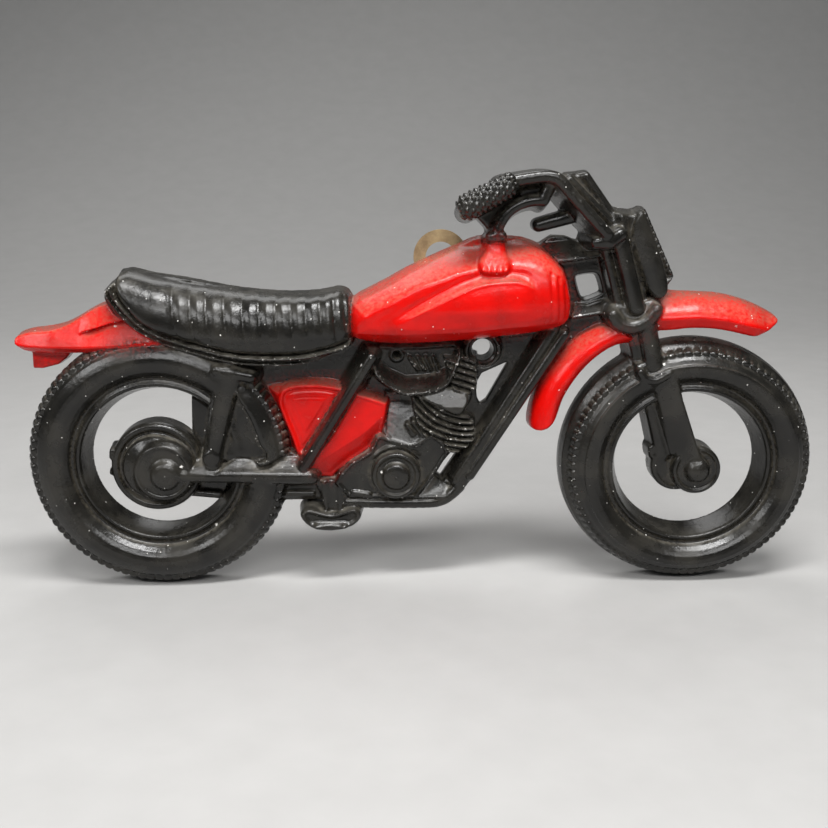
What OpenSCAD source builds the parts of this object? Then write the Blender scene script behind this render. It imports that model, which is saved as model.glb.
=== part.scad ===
// Painted cast-metal wall plaque in the shape of a dirt motorcycle, seen from its left side.
// X runs along the motorcycle and grows towards the front wheel, Z is up, the relief faces -Y.
// The flat rim of the back lies in one plane; a ring hanger turns on a rivet behind it.
// Every sub-part states its height above that rim plane, so h = 0 is the wall side.

/* [Wheels] */
// outer radius of the rear tyre
rear_r = 43.8; // [30:0.1:60]
// outer radius of the front tyre
front_r = 42.4; // [30:0.1:60]
// distance between the two axles
wheelbase = 178.6; // [140:0.1:220]
// radius of the opening inside a rim, at the wall side
window_r = 24; // [15:0.1:30]
// radius of the front lip of a rim
lip_r = 27; // [20:0.1:32]
// radius where the rim meets the tyre
bead_r = 30.3; // [24:0.1:36]
// height of the tyre crest above the rim plane
tyre_h = 13; // [8:0.1:18]
// height of the rim lip
lip_h = 9.6; // [6:0.1:14]
// height of the flat tread band that the plaque stands on
tread_h = 9.6; // [6:0.1:14]
// thickness of the tread band
tread_t = 2.6; // [1:0.1:5]
// depth of the grooves between tread knobs
knob_t = 0.8; // [0.3:0.1:2]
// number of tread knobs round one tyre
knobs = 72; // [36:4:96]
// depth of the hollow behind each tyre
hollow_h = 8; // [0:0.5:10]

/* [Relief heights] */
// thickness of the webs that tie the parts together
web_h = 3; // [1.5:0.1:5]
// height of the seat cushion crown
seat_h = 18; // [10:0.1:24]
// height of the seat base bead
bead_h = 12; // [6:0.1:16]
// height of the fuel tank crown
tank_h = 20; // [12:0.1:26]
// height of the tank side panel above the tank skin
panel_t = 0.8; // [0.3:0.1:2]
// height of both fender crowns
fender_h = 11; // [6:0.1:16]
// height of the engine block
engine_h = 10; // [6:0.1:14]
// height of the cooling fins
fin_h = 12; // [8:0.1:16]
// height of the handlebar centre line
bar_h = 15; // [10:0.1:20]
// height of the near grip centre line
grip_h = 18; // [12:0.1:22]

/* [Tubes] */
// radius of the diagonal frame tube
diag_r = 1.9; // [1:0.1:3]
// radius of each of the two down tube ridges
down_r = 1.9; // [1:0.1:3]
// radius of the swing arm
arm_r = 2.6; // [1.5:0.1:4]
// radius of the handlebar tube
bar_r = 1.8; // [1:0.1:3]
// radius of the near grip
grip_r = 3.6; // [2:0.1:5]
// radius of the near fork leg
leg_r = 2.6; // [1.5:0.1:4]

/* [Hanger] */
// outer diameter of the hanger ring
ring_od = 18; // [12:0.1:26]
// inner diameter of the hanger ring, which goes over the nail
ring_id = 10; // [6:0.1:18]
// thickness of the hanger sheet
ring_t = 1; // [0.6:0.1:2]
// gap between the rim plane and the hanger
ring_gap = 0.3; // [0.1:0.05:1]
// radius of the rivet shaft
rivet_r = 1.5; // [1:0.05:3]
// radius of the rivet head
rivet_head_r = 3; // [2:0.1:5]
// thickness of the rivet head
rivet_head_t = 0.8; // [0.4:0.1:2]
// radial clearance between the rivet shaft and the hanger
rivet_fit = 0.08; // [0.01:0.01:0.1]
// distance from the rivet to the centre of the ring
ring_drop = 13; // [10:0.1:20]

/* [Hidden] */
$fn = 96;
tall = 40;
rear_x = -88.7;
rear_z = rear_r;
front_x = rear_x + wheelbase;
front_z = front_r;
tail_x = -133.6;
nose_x = front_x + front_r;
front_h = grip_h + grip_r;
back_h = ring_gap * 2 + ring_t + rivet_head_t;
mid_x = (tail_x + nose_x) / 2;
mid_h = (front_h - back_h) / 2;
rivet_p = [5.9, 98.2];

paint_black = [0.07, 0.065, 0.06];
paint_red = [0.75, 0.05, 0.04];
paint_dark = [0.12, 0.11, 0.1];
old_brass = [0.55, 0.42, 0.2];

// ---------- shared shapes ----------

// one point of a smooth closed curve through the points p, between point i and the next
function knot(p, i, t) = let (n = len(p),
    a = p[(i + n - 1) % n],
    b = p[i],
    c = p[(i + 1) % n],
    d = p[(i + 2) % n])
    (2 * b + (c - a) * t + (2 * a - 5 * b + 4 * c - d) * t * t
    + (3 * b - a - 3 * c + d) * t * t * t) / 2;

// a smooth closed curve through the points p, with n steps between two of them
function loop(p, n = 3) = [for (i = [0 : len(p) - 1], k = [0 : n - 1]) knot(p, i, k / n)];

// puts the motorcycle on Z = 0 with its outer box centred on X = 0 and Y = 0
module place()
    translate([-mid_x, mid_h, 0])
        children();

// raises a side-view outline from height h0 to height h1
module slab(h0, h1)
    translate([0, -h0, 0])
        rotate([90, 0, 0])
            linear_extrude(h1 - h0)
                children();

// a round bar of radius ra at a and rb at b, whose centre line lies at height h
module rod(a, b, ra, rb, h)
    translate([a[0], -h, a[1]])
        rotate([0, atan2(b[0] - a[0], b[1] - a[1]), 0])
            cylinder(h = norm(b - a), r1 = ra, r2 = rb);

// the side-view outline of such a bar
module strip(a, b, ra, rb) {
    u = (b - a) / norm(b - a);
    s = [-u[1], u[0]];
    polygon([a + s * ra, b + s * rb, b - s * rb, a - s * ra]);
}

// a half-round bar standing on the rim plane
module ridge(a, b, ra, rb, h) {
    slab(0, h)
        strip(a, b, ra * 0.88, rb * 0.88);
    rod(a, b, ra, rb, h);
}

// a disc at p with radius r between two heights
module disc(p, r, h0, h1)
    translate([p[0], -h0, p[1]])
        rotate([90, 0, 0])
            cylinder(h = h1 - h0, r = r);

// a round cover with a broken front edge
module dished(p, r, h0, h1, c)
    translate([p[0], -h0, p[1]])
        rotate([90, 0, 0])
            union() {
                cylinder(h = h1 - h0 - c, r = r);
                translate([0, 0, h1 - h0 - c])
                    cylinder(h = c, r1 = r, r2 = r - c);
            }

// turns a profile (radius, height) round the axle at p
module turned(p)
    translate([p[0], 0, p[1]])
        rotate([90, 0, 0])
            rotate_extrude($fn = 144)
                children();

// a crown whose ridge line runs from a to b at height h, with radius r
module crown(a, b, h, r)
    translate([0, r - h, 0])
        rod(a, b, r, r, 0);

// ---------- side-view outlines ----------

rear_c = [rear_x, rear_z];
front_c = [front_x, front_z];
sprocket_c = [-89.9, 41.9];
hub_c = [92.8, 39.9];
arm_a = [-83.5, 40];
arm_b = [-37.5, 38.7];
shock_a = [-70.2, 47];
shock_b = [-64.4, 74.2];
shock_top_a = [-67.6, 75.8];
shock_top_b = [-57, 73.4];
diag_a = [-39.8, 43.2];
diag_b = [-17.2, 79.6];
leg_a = [78.2, 71.2];
leg_b = [92.4, 41.2];

module o_fender_rear()
    polygon([[-133.6, 84.6], [-133, 86.4], [-128.9, 87.8], [-123, 88.4], [-117.7, 89.7],
        [-113.3, 91.9], [-109.4, 94.3], [-104.6, 96.4], [-99, 94], [-92, 88.6], [-87.5, 86],
        [-88.6, 83.1], [-105.8, 82.3], [-116.9, 81.7], [-128.2, 81.4], [-132, 82.4]]);

module o_seat_all()
    polygon(loop([[-97.2, 105.6], [-103.2, 101.4], [-102.5, 96.6], [-98.4, 92], [-92.2, 88.3],
        [-83.7, 84.3], [-72.9, 80.1], [-62.2, 77.6], [-51.2, 76.5], [-40, 77.8], [-30, 81],
        [-24.1, 84], [-24, 92], [-24.4, 99.4], [-27.5, 101.3], [-36, 99.5], [-57.5, 100.4],
        [-78, 104.6], [-91, 107.3], [-95, 107.8]], 2));

module o_cushion()
    polygon(loop([[-98.6, 105.4], [-96.6, 107.3], [-94.2, 107.5], [-87.9, 105.9], [-77.9, 104.4],
        [-66.9, 102.1], [-57.5, 100.3], [-47.4, 99.3], [-36.3, 99.3], [-31, 100], [-27.2, 101],
        [-25.2, 99], [-25, 90], [-25.6, 86.2], [-32.5, 84], [-39.7, 82.1], [-50.7, 81.6],
        [-61.7, 82.2], [-72.2, 84.9], [-82.9, 88.2], [-89.8, 91.8], [-95.2, 97.3],
        [-98, 101.6]], 2));

module o_tank()
    polygon(loop([[-24.2, 86.4], [-24.4, 92], [-23.4, 98], [-17.5, 101.7], [-10.9, 105],
        [-5.4, 108.2], [5.4, 113.4], [12.9, 116.7], [18, 118.6], [25, 118.7], [32.4, 118.2],
        [37, 116.4], [41, 113.4], [45.6, 108], [47.6, 102], [48.4, 96.8], [47.9, 92],
        [46, 89], [41.1, 87.3], [32.8, 85.7], [21.9, 84.8], [11, 83.8], [-0.2, 82.9],
        [-11.1, 82.9], [-19.3, 84]], 2));

module o_panel()
    polygon(loop([[-8.8, 91.4], [-3.1, 95.6], [4.8, 99.8], [15.2, 104.6], [23.1, 106.1],
        [31, 106], [35.6, 103], [37.6, 97.5], [36.8, 92.6], [26.6, 91.4], [15.6, 90.3],
        [5, 89.9], [-5, 89.8]], 3));

module o_shock() {
    strip(shock_a, shock_b, 2.7, 4.8);
    strip(shock_top_a, shock_top_b, 2.2, 2.2);
    translate([-70.8, 45.9])
        circle(r = 2.9);
}

module o_arm() {
    strip(arm_a, arm_b, arm_r, arm_r);
    translate(arm_a - [0.6, 0])
        circle(r = 5.4);
}

module o_gusset()
    polygon([[-68, 41], [-62.7, 44.4], [-58.4, 44.4], [-54.7, 43.1], [-50.5, 44], [-46.6, 45.7],
        [-43.6, 45.4], [-38.8, 42], [-41, 39]]);

module o_diag()
    strip(diag_a, diag_b, diag_r, diag_r);

module o_cover_rear()
    polygon(loop([[-47.9, 64.5], [-46.7, 68.4], [-41.7, 69.9], [-35, 69.9], [-28.4, 68.6],
        [-25.8, 67.6], [-30, 60], [-36.5, 50], [-41, 45.6], [-44.4, 53], [-46.9, 59.7]], 3));

module o_cover_front()
    polygon([[-19.2, 65.7], [-12.3, 63.6], [-13.7, 56.7], [-14.4, 53.3], [-16.6, 49.4],
        [-20, 47], [-24.3, 44.5], [-28.9, 40.3], [-30.6, 38], [-36.9, 38.9], [-38.2, 41.2],
        [-30.1, 51.5], [-21, 66.4]]);

module o_crankcase()
    polygon([[-30, 36], [-28.2, 39.5], [-24.8, 43], [-18, 47.2], [-15.9, 52.1], [-14.6, 52.9],
        [-11.2, 51.4], [-4.5, 49.2], [-1.8, 49.9], [0.5, 52], [3.2, 53], [6.6, 50.4],
        [8.6, 46.6], [4.4, 39.6], [-2.4, 30.6], [-25, 30.6]]);

module o_barrel()
    polygon([[-3.9, 66.2], [0.3, 67], [2.9, 65], [10.9, 61.9], [17, 57.6], [17.3, 50],
        [11.6, 46.6], [8.6, 46.6], [6.6, 50.4], [3.2, 53], [0.5, 52], [-2.4, 58.4]]);

module o_leaf()
    polygon(loop([[0.3, 67], [5.2, 68.5], [11.1, 67.9], [13, 64.5], [10.9, 61.9],
        [5.6, 64.2], [2.9, 65]], 3));

module o_head()
    polygon([[8.6, 78], [17.2, 78], [17.4, 66.8], [13, 66], [9.6, 68.2]]);

module o_intake()
    polygon([[-13, 54], [-12.2, 65.6], [-4, 66], [-2.4, 58.4], [0.5, 52], [-1.8, 49.9],
        [-4.5, 49.2], [-11.2, 51.4], [-14, 52.8]]);

module o_dish()
    polygon(loop([[-15.8, 73.8], [-11.1, 69.6], [-5.6, 67], [2, 67.8], [7.6, 70], [10.6, 76],
        [12, 82.4], [6, 84.6], [-6, 84.6], [-14, 83.8], [-16.4, 79]], 3));

module o_coil()
    translate([19.6, 81.4])
        circle(r = 6.6);

module o_down() {
    strip([12.6, 33.2], [46.4, 86.6], down_r, down_r);
    strip([9.4, 35.2], [43.1, 88.4], down_r, down_r);
}

module o_cradle()
    polygon([[-25, 27], [-25, 30.6], [-2.4, 30.6], [3, 31.6], [7.7, 36.3], [14.3, 32.2],
        [11.6, 29.4], [8.6, 27.2], [4.6, 26.2]]);

module o_stem()
    polygon([[-36.4, 36], [-33.2, 27], [-28.4, 27], [-25.6, 30.6], [-30, 36]]);

module o_pad()
    polygon(loop([[-41.6, 25.4], [-39.2, 27.6], [-34, 26.4], [-31.6, 26.6], [-28, 26.6],
        [-23.6, 27.6], [-21.4, 24.8], [-24.7, 21], [-31.5, 19.4], [-37.9, 20.2]], 3));

module o_neck()
    polygon([[40.4, 114.2], [43.6, 110.8], [53.3, 113.6], [59.6, 113.2], [64.4, 96.9],
        [63, 90.2], [50, 90.6], [45, 87.6], [47, 100]]);

module o_neck_window()
    polygon(loop([[50.2, 104.4], [51.6, 105.7], [56.6, 106.3], [58.2, 104.8], [59.4, 100.4],
        [58.6, 99], [54, 97.4], [52.2, 98.2]], 2));

module o_fork_near()
    strip([63.8, 114.4], [69.2, 96.6], 3, 3);

module o_fork_far()
    strip([59.6, 113.2], [64.4, 96.9], 2, 2);

module o_clamp_low()
    strip([65.6, 96.6], [67.8, 89.6], 7, 5.8);

module o_stanchion()
    strip([72.2, 88], [75.4, 77.4], 2.9, 2.9);

module o_collar()
    strip([75.2, 77.6], [77.2, 71], 4.2, 5);

module o_leg_near()
    strip(leg_a, leg_b, leg_r, leg_r);

module o_foot()
    translate([92.9, 40])
        circle(r = 3.9);

module o_leg_far()
    strip([74.6, 69.6], [81.6, 45.6], 2.2, 2.8);

module o_mudflap()
    polygon(loop([[69.2, 85.6], [66, 86.8], [62.6, 88.3], [59.3, 89.1], [55.9, 88.3],
        [51.7, 86.3], [47.5, 82.3], [42.7, 76.4], [38.9, 69.2], [36.8, 62.4], [36.1, 57],
        [37, 54.6], [40, 54.7], [43.6, 56.8], [45.3, 59.9], [46.8, 64.9], [50, 70.2],
        [54.4, 76.2], [59.3, 80.7], [64.1, 83.2], [69, 83.5]], 2));

module o_fender_front()
    polygon(loop([[79.2, 89], [79.4, 95], [81.4, 99.8], [89.8, 99.3], [96.7, 99.2],
        [103.5, 97.7], [109.2, 96], [113.7, 94], [116.9, 91.6], [115.6, 88.8], [112.3, 86.5],
        [109.6, 85.9], [104.2, 87.1], [95.8, 88.6], [87.5, 88.8], [82, 88.2]], 2));

module o_lamp()
    polygon(loop([[70, 126.6], [67, 121], [66.4, 113], [69.6, 105], [74, 100.4], [77, 98.6],
        [79.2, 101], [78.6, 106], [75.2, 115.6]], 3));

module o_ring(p, r)
    difference() {
        circle_at(p, r);
        circle_at(p, window_r);
    }

module circle_at(p, r)
    translate(p)
        circle(r = r, $fn = r > 20 ? 144 : 96);

module o_side_plate()
    difference() {
        polygon([[-66, 78], [-50, 77], [-24.2, 85], [-13, 84], [-34.4, 51], [-31, 40], [-30.4, 37],
            [-46, 36.6], [-58, 60]]);
        circle_at(rear_c, rear_r);
        o_seat_all();
        o_tank();
    }

module o_engine_plate()
    difference() {
        polygon([[-13, 84], [-13, 85], [42, 89], [46, 86], [12, 30], [-25, 30.6], [-30, 36],
            [-31, 40], [-34.4, 51]]);
        polygon([[28.6, 76.4], [19.8, 72.4], [17.9, 68.6], [18.4, 64], [19.4, 62], [21.4, 63.4]]);
        polygon([[10.4, 45.6], [12.2, 45.4], [6, 36.4], [4, 37.8]]);
        circle_at([19.6, 81.4], 3.7);
        circle_at([-8.8, 79.6], 1.2);
        o_tank();
        o_down();
        o_cradle();
        o_neck();
    }

module o_hub_plate()
    difference() {
        intersection() {
            polygon([[-77.8, 70], [-60, 70], [-60, 28], [-76.5, 31], [-76.5, 40], [-78.4, 52]]);
            circle_at(rear_c, window_r);
        }
        circle_at(sprocket_c, 15.2);
    }

// the thin plates and wheel rings that everything else stands on
module backs()
    slab(-1, web_h) {
        o_ring(rear_c, rear_r);
        o_ring(front_c, front_r);
        o_side_plate();
        o_engine_plate();
        o_hub_plate();
    }

// what covers the rear wheel, as one outline
module over_rear() {
    o_fender_rear();
    o_seat_all();
    o_shock();
    o_arm();
    o_gusset();
}

// what covers the front wheel, as one outline
module over_front() {
    o_leg_near();
    o_leg_far();
    o_collar();
    o_stanchion();
    o_foot();
    o_mudflap();
    o_fender_front();
}

// ---------- wheels ----------

module tyre(p, r)
    turned(p)
        difference() {
            union() {
                translate([bead_r, 0])
                    square([r - tread_t - bead_r, tyre_h - 6.2]);
                translate([(bead_r + r - tread_t) / 2, tyre_h - 6.2])
                    intersection() {
                        circle(r = 6.2);
                        translate([-(r - tread_t - bead_r) / 2, 0])
                            square([r - tread_t - bead_r, 7]);
                    }
            }
            translate([bead_r + 3, -1])
                square([r - tread_t - bead_r - 6, hollow_h + 1]);
        }

module tread(p, r)
    slab(0, tread_h)
        translate(p)
            difference() {
                polygon([for (i = [0 : knobs - 1], k = [0 : 3])
                    let (a = (i + [-0.3, 0.3, 0.36, 0.64][k]) * 360 / knobs,
                        q = k < 2 ? r : r - knob_t)
                        [q * cos(a), q * sin(a)]]);
                circle(r = r - tread_t, $fn = 144);
            }

module rim(p)
    turned(p)
        polygon([[window_r, 0], [bead_r, 0], [bead_r, lip_h - 0.6], [lip_r + 1, lip_h],
            [lip_r, lip_h - 0.4], [window_r, web_h]]);

module rear_tyre()
    color(paint_black)
        difference() {
            tyre(rear_c, rear_r);
            slab(web_h, tall)
                over_rear();
        }

module rear_tread()
    color(paint_dark)
        difference() {
            tread(rear_c, rear_r);
            slab(web_h, tall)
                over_rear();
        }

module rear_rim()
    color(paint_black)
        difference() {
            rim(rear_c);
            slab(web_h, tall)
                over_rear();
        }

module rear_sprocket()
    color(paint_black)
        difference() {
            union() {
                dished(sprocket_c, 15.2, 0, 9, 0.8);
                dished(sprocket_c + [0.6, 0.3], 11, 8, 11.5, 1);
            }
            slab(-1, tall)
                o_arm();
        }

module rear_hub_web()
    color(paint_dark)
        slab(0, web_h)
            o_hub_plate();

module swing_arm()
    color(paint_black)
        difference() {
            union() {
                ridge(arm_a, arm_b, arm_r, arm_r, 11);
                dished(arm_a - [0.6, 0], 5.4, 0, 14, 1.2);
            }
            slab(-1, tall)
                o_diag();
            backs();
        }

module arm_gusset()
    color(paint_dark)
        difference() {
            slab(0, 9)
                difference() {
                    o_gusset();
                    o_arm();
                    o_shock();
                    o_diag();
                }
            backs();
        }

module lower_rail()
    color(paint_black)
        difference() {
            slab(0, 7)
                difference() {
                    polygon([[-52, 29.6], [-52, 35.4], [-36.2, 35.4], [-34.1, 29.4]]);
                    circle_at(rear_c, rear_r);
                }
            slab(4, 8)
                polygon([[-45, 33.4], [-38.6, 33.2], [-38.4, 31], [-44, 31.4]]);
        }

// ---------- rear suspension ----------

module shock_body()
    color(paint_black)
        difference() {
            union() {
                slab(0, 9)
                    strip(shock_a, shock_b, 2.2, 4.1);
                rod(shock_a, shock_b, 2.7, 4.8, 9.6);
                dished([-70.8, 45.9], 2.9, 0, 13.4, 0.8);
            }
            slab(-1, tall) {
                strip(shock_top_a, shock_top_b, 2.2, 2.2);
                o_seat_all();
                o_arm();
            }
            backs();
        }

module shock_mount()
    color(paint_black)
        difference() {
            ridge(shock_top_a, shock_top_b, 2.2, 2.2, 12);
            slab(-1, tall)
                o_seat_all();
            backs();
        }

// ---------- rear bodywork ----------

module rear_fender()
    color(paint_red)
        difference() {
            union() {
                intersection() {
                    slab(0, fender_h)
                        difference() {
                            o_fender_rear();
                            o_seat_all();
                        }
                    crown([-140, 83.2], [-80, 86.6], fender_h, 11);
                }
                slab(4, fender_h + 0.4)
                    o_ridge();
            }
            backs();
        }

module o_ridge()
    polygon([[-111, 87.8], [-99.6, 92.6], [-97.6, 91], [-104, 88.4]]);

module tail_lug()
    color(paint_red)
        slab(0, 5)
            difference() {
                polygon([[-129.4, 84], [-129.4, 75.1], [-126.3, 75.1], [-121.2, 76.6],
                    [-119, 78.4], [-117, 84]]);
                o_fender_rear();
                translate(rear_c)
                    circle(r = rear_r, $fn = 144);
            }

module seat_base()
    color(paint_black)
        difference() {
            slab(0, bead_h)
                difference() {
                    o_seat_all();
                    o_cushion();
                    o_tank();
                    polygon([[-96.6, 104.8], [-90, 98], [-60, 90], [-27, 90], [-27, 101],
                        [-22, 101], [-22, 112], [-98, 112]]);
                }
            backs();
        }

module seat_cushion()
    color(paint_dark)
        difference() {
            intersection() {
                slab(0, seat_h)
                    difference() {
                        o_cushion();
                        o_tank();
                    }
                crown([-110, 101.5], [-14, 90.6], seat_h, 13.6);
            }
            slab(-1, 8)
                polygon([[-92, 98], [-88, 103], [-60, 97.6], [-30, 96.6], [-30, 88], [-60, 86],
                    [-80, 91]]);
            for (x = [-80.1 : 5.2 : -28])
                slab(seat_h - 1.6, tall)
                    translate([x, 92])
                        square([0.8, 60], center = true);
        }

// ---------- tank ----------

module tank_skin(d)
    intersection() {
        crown([-40, 90.4], [60, 102.6], tank_h + d, 20 + d);
        translate([14, 40 - d, 100.6])
            sphere(r = tank_h + 40, $fn = 128);
    }

module fuel_tank()
    color(paint_red)
        difference() {
            intersection() {
                slab(0, tank_h)
                    o_tank();
                tank_skin(0);
            }
            slab(tank_h - 9, tall)
                o_panel();
            slab(-1, 9)
                polygon([[-19, 90], [-16, 98], [2, 106], [4, 104], [10, 104], [14, 113], [34, 113],
                    [41, 106], [43.4, 97], [42, 92], [24, 89], [-8, 87.4]]);
            slab(11, tall)
                o_flutes();
            slab(4, tall)
                polygon([[17.7, 108.6], [26.7, 108.6], [26.7, 120], [17.7, 120]]);
        }

module tank_panel()
    color(paint_red)
        intersection() {
            slab(tank_h - 9, tall)
                o_panel();
            tank_skin(panel_t);
        }

module o_flutes() {
    strip([40.6, 108.6], [41.2, 94.4], 1, 1);
    strip([43.2, 106.6], [43.8, 94.4], 1, 1);
    strip([45.6, 104], [46, 95], 0.8, 0.8);
}

module filler_cap()
    color(paint_red)
        translate([22.2, -12, 108.6])
            union() {
                intersection() {
                    cylinder(h = 5.4, r = 4.5);
                    translate([-6, -6, 0])
                        cube([12, 14, 6]);
                }
                translate([0.7, -0.6, 5])
                    cylinder(h = 6.8, r1 = 2.9, r2 = 2.2);
            }

// ---------- middle ----------

module side_cover_rear()
    color(paint_red)
        union() {
            slab(web_h, 8)
                difference() {
                    o_cover_rear();
                    o_diag();
                    o_gusset();
                    o_arm();
                    circle_at(rear_c, rear_r);
                }
            slab(7, 8.9)
                polygon([[-43.4, 64.6], [-40.6, 66.6], [-34, 66.6], [-31.6, 65.4],
                    [-40.4, 51.6]]);
        }

module side_cover_front()
    color(paint_red)
        slab(web_h, 9)
            difference() {
                o_cover_front();
                o_arm();
                o_diag();
                o_dish();
                o_crankcase();
                o_intake();
            }

module side_web()
    color(paint_dark)
        slab(0, web_h)
            o_side_plate();

module diagonal_tube()
    color(paint_black)
        difference() {
            ridge(diag_a, diag_b, diag_r, diag_r, 11.6);
            slab(-1, tall) {
                o_dish();
                o_tank();
            }
            backs();
        }

module down_tube()
    color(paint_black)
        difference() {
            union() {
                ridge([12.6, 33.2], [46.4, 86.6], down_r, down_r, 9);
                ridge([9.4, 35.2], [43.1, 88.4], down_r, down_r, 7.6);
                slab(0, 6)
                    strip([11, 34.2], [44.7, 87.5], 2.6, 2.6);
            }
            slab(-1, tall) {
                o_tank();
                o_neck();
            }
        }

module cradle_tube()
    color(paint_black)
        slab(0, 9)
            difference() {
                o_cradle();
                o_down();
                o_pad();
            }

module engine_web()
    color(paint_dark)
        slab(0, web_h)
            o_engine_plate();

// ---------- engine ----------

module crankcase()
    color(paint_black)
        slab(web_h, engine_h)
            o_crankcase();

module clutch_cover()
    color(paint_black)
        union() {
            dished([-9.3, 39.4], 8.1, engine_h, engine_h + 3, 1);
            dished([-9.3, 39.4], 4.4, engine_h + 2, engine_h + 4.6, 0.8);
        }

module intake_block()
    color(paint_dark)
        slab(web_h, 6)
            difference() {
                o_intake();
                o_dish();
            }

module cylinder_barrel()
    color(paint_black)
        difference() {
            slab(web_h, fin_h)
                difference() {
                    o_barrel();
                    o_leaf();
                    o_down();
                }
            for (i = [0 : 4])
                slab(fin_h - 3, tall)
                    translate([1 + i * 0.9, 63.2 - i * 2.7])
                        rotate(-24)
                            square([40, 1.1], center = true);
        }

module cylinder_head()
    color(paint_black)
        difference() {
            union() {
                slab(web_h, fin_h)
                    difference() {
                        o_head();
                        o_dish();
                        o_coil();
                        o_leaf();
                    }
                slab(web_h, 14)
                    o_leaf();
            }
            for (i = [0 : 3])
                slab(fin_h - 3, tall)
                    translate([13, 69.8 + i * 2.3])
                        rotate(-10)
                            square([20, 1], center = true);
        }

module air_cleaner()
    color(paint_dark)
        union() {
            difference() {
                slab(web_h, 12)
                    difference() {
                        o_dish();
                        o_tank();
                        o_coil();
                        circle_at([-8.8, 79.6], 1.2);
                    }
                slab(7, 13)
                    polygon([[-12, 80], [-11.6, 75.4], [-6, 73.2], [0, 73.2], [4.6, 75.6],
                        [7, 80]]);
            }
            slab(6, 10)
                for (i = [0 : 3])
                    strip([-4.4 + i * 2.6, 79], [-2.4 + i * 2.2, 74.8], 0.7, 0.7);
        }

module coil_ring()
    color(paint_black)
        slab(web_h, 9)
            difference() {
                o_coil();
                o_tank();
                circle_at([19.6, 81.4], 3.7);
            }

module stand_stem()
    color(paint_black)
        slab(0, 11)
            difference() {
                o_stem();
                o_arm();
                o_pad();
            }

module stand_pad()
    color(paint_black)
        slab(0, 13)
            o_pad();

// ---------- front end ----------

module neck_web()
    color(paint_dark)
        slab(0, 7)
            difference() {
                o_neck();
                o_neck_window();
                o_tank();
                o_fork_near();
                o_fork_far();
                o_clamp_low();
                o_mudflap();
                circle_at([58, 118.3], 4.4);
            }

module fork_tube_near()
    color(paint_black)
        difference() {
            ridge([63.8, 114.4], [69.2, 96.6], 3, 3, 11);
            slab(-1, tall)
                o_clamp_low();
        }

module fork_tube_far()
    color(paint_black)
        difference() {
            ridge([59.6, 113.2], [64.4, 96.9], 2, 2, 8);
            slab(-1, tall) {
                o_clamp_low();
                o_fork_near();
                circle_at([58, 118.3], 4.4);
            }
        }

module o_clamp_up()
    polygon([[60.6, 113.4], [66.8, 115.3], [68, 121.4], [66, 125], [61.8, 124], [60.4, 119]]);

module upper_clamp()
    color(paint_black)
        slab(0, 12)
            difference() {
                o_clamp_up();
                o_fork_near();
                o_lamp();
                circle_at([58, 118.3], 4.4);
            }

module lower_clamp()
    color(paint_black)
        slab(0, 14)
            difference() {
                o_clamp_low();
                o_fender_front();
            }

module stanchion()
    color(paint_black)
        difference() {
            ridge([72.2, 88], [75.4, 77.4], 2.9, 2.9, 10.6);
            slab(-1, tall) {
                o_clamp_low();
                o_collar();
                o_fender_front();
            }
            backs();
        }

module fork_collar()
    color(paint_black)
        difference() {
            slab(0, 14)
                o_collar();
            backs();
        }

module fork_leg_near()
    color(paint_black)
        difference() {
            union() {
                ridge(leg_a, leg_b, leg_r, leg_r, 12);
                dished([92.9, 40], 3.9, 0, 15, 1);
            }
            slab(-1, tall)
                o_collar();
            backs();
        }

module fork_leg_far()
    color(paint_black)
        difference() {
            ridge([74.6, 69.6], [81.6, 45.6], 2.2, 2.8, 6);
            slab(-1, tall) {
                o_collar();
                o_leg_near();
                circle_at([86.8, 41], 9.2);
            }
            backs();
        }

module front_hub()
    color(paint_black)
        difference() {
            dished(hub_c, 8.4, 0, 11, 0.8);
            slab(-1, tall) {
                o_leg_near();
                o_foot();
            }
        }

module brake_plate()
    color(paint_black)
        difference() {
            dished([86.8, 41], 9.2, 0, 8, 0.8);
            disc(hub_c, 8.4, -1, tall);
            slab(-1, tall) {
                o_leg_near();
                polygon([leg_a, leg_b, [110, 40], [110, 70]]);
            }
        }

module front_tyre()
    color(paint_black)
        difference() {
            tyre(front_c, front_r);
            slab(web_h, tall)
                over_front();
        }

module front_tread()
    color(paint_dark)
        difference() {
            tread(front_c, front_r);
            slab(web_h, tall)
                over_front();
        }

module front_rim()
    color(paint_black)
        difference() {
            rim(front_c);
            slab(web_h, tall)
                over_front();
        }

module front_fender()
    color(paint_red)
        difference() {
            intersection() {
                slab(0, fender_h)
                    o_fender_front();
                crown([70, 92.6], [125, 91.4], fender_h, 10);
            }
            backs();
        }

module front_mudflap()
    color(paint_red)
        difference() {
            slab(0, fender_h)
                difference() {
                    o_mudflap();
                    o_stanchion();
                    o_clamp_low();
                }
            for (s = [0 : 1])
                slab(fender_h - 2.4 + s * 1.2, tall)
                    difference() {
                        translate([30, 50])
                            square([50, 42]);
                        circle_at([79, 52.4], 41.2 - s * 1.2);
                    }
            backs();
        }

// ---------- lamp and handlebar ----------

module headlight_shell()
    color(paint_black)
        intersection() {
            slab(0, 12)
                difference() {
                    o_lamp();
                    o_fork_near();
                }
            crown([80.5, 98], [66, 128], 12, 10);
        }

module headlight_lens()
    color(paint_dark)
        slab(0, 10)
            difference() {
                polygon([[70.2, 127.2], [71.6, 127], [82, 105.6], [79.4, 101.2], [78, 103],
                    [76, 113]]);
                o_lamp();
            }

// the bent tube of the near handlebar
module bar_tube() {
    rod([25.4, 135.6], [40.6, 137.8], bar_r, bar_r, bar_h + 1);
    rod([40.6, 137.8], [57.4, 120.4], bar_r, bar_r, bar_h + 1);
    translate([40.6, -bar_h - 1, 137.8])
        sphere(r = bar_r + 0.4);
}

module handlebar()
    color(paint_black)
        difference() {
            bar_tube();
            disc([58, 118.3], 4.4, -1, tall);
            grip_solid();
        }

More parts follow.
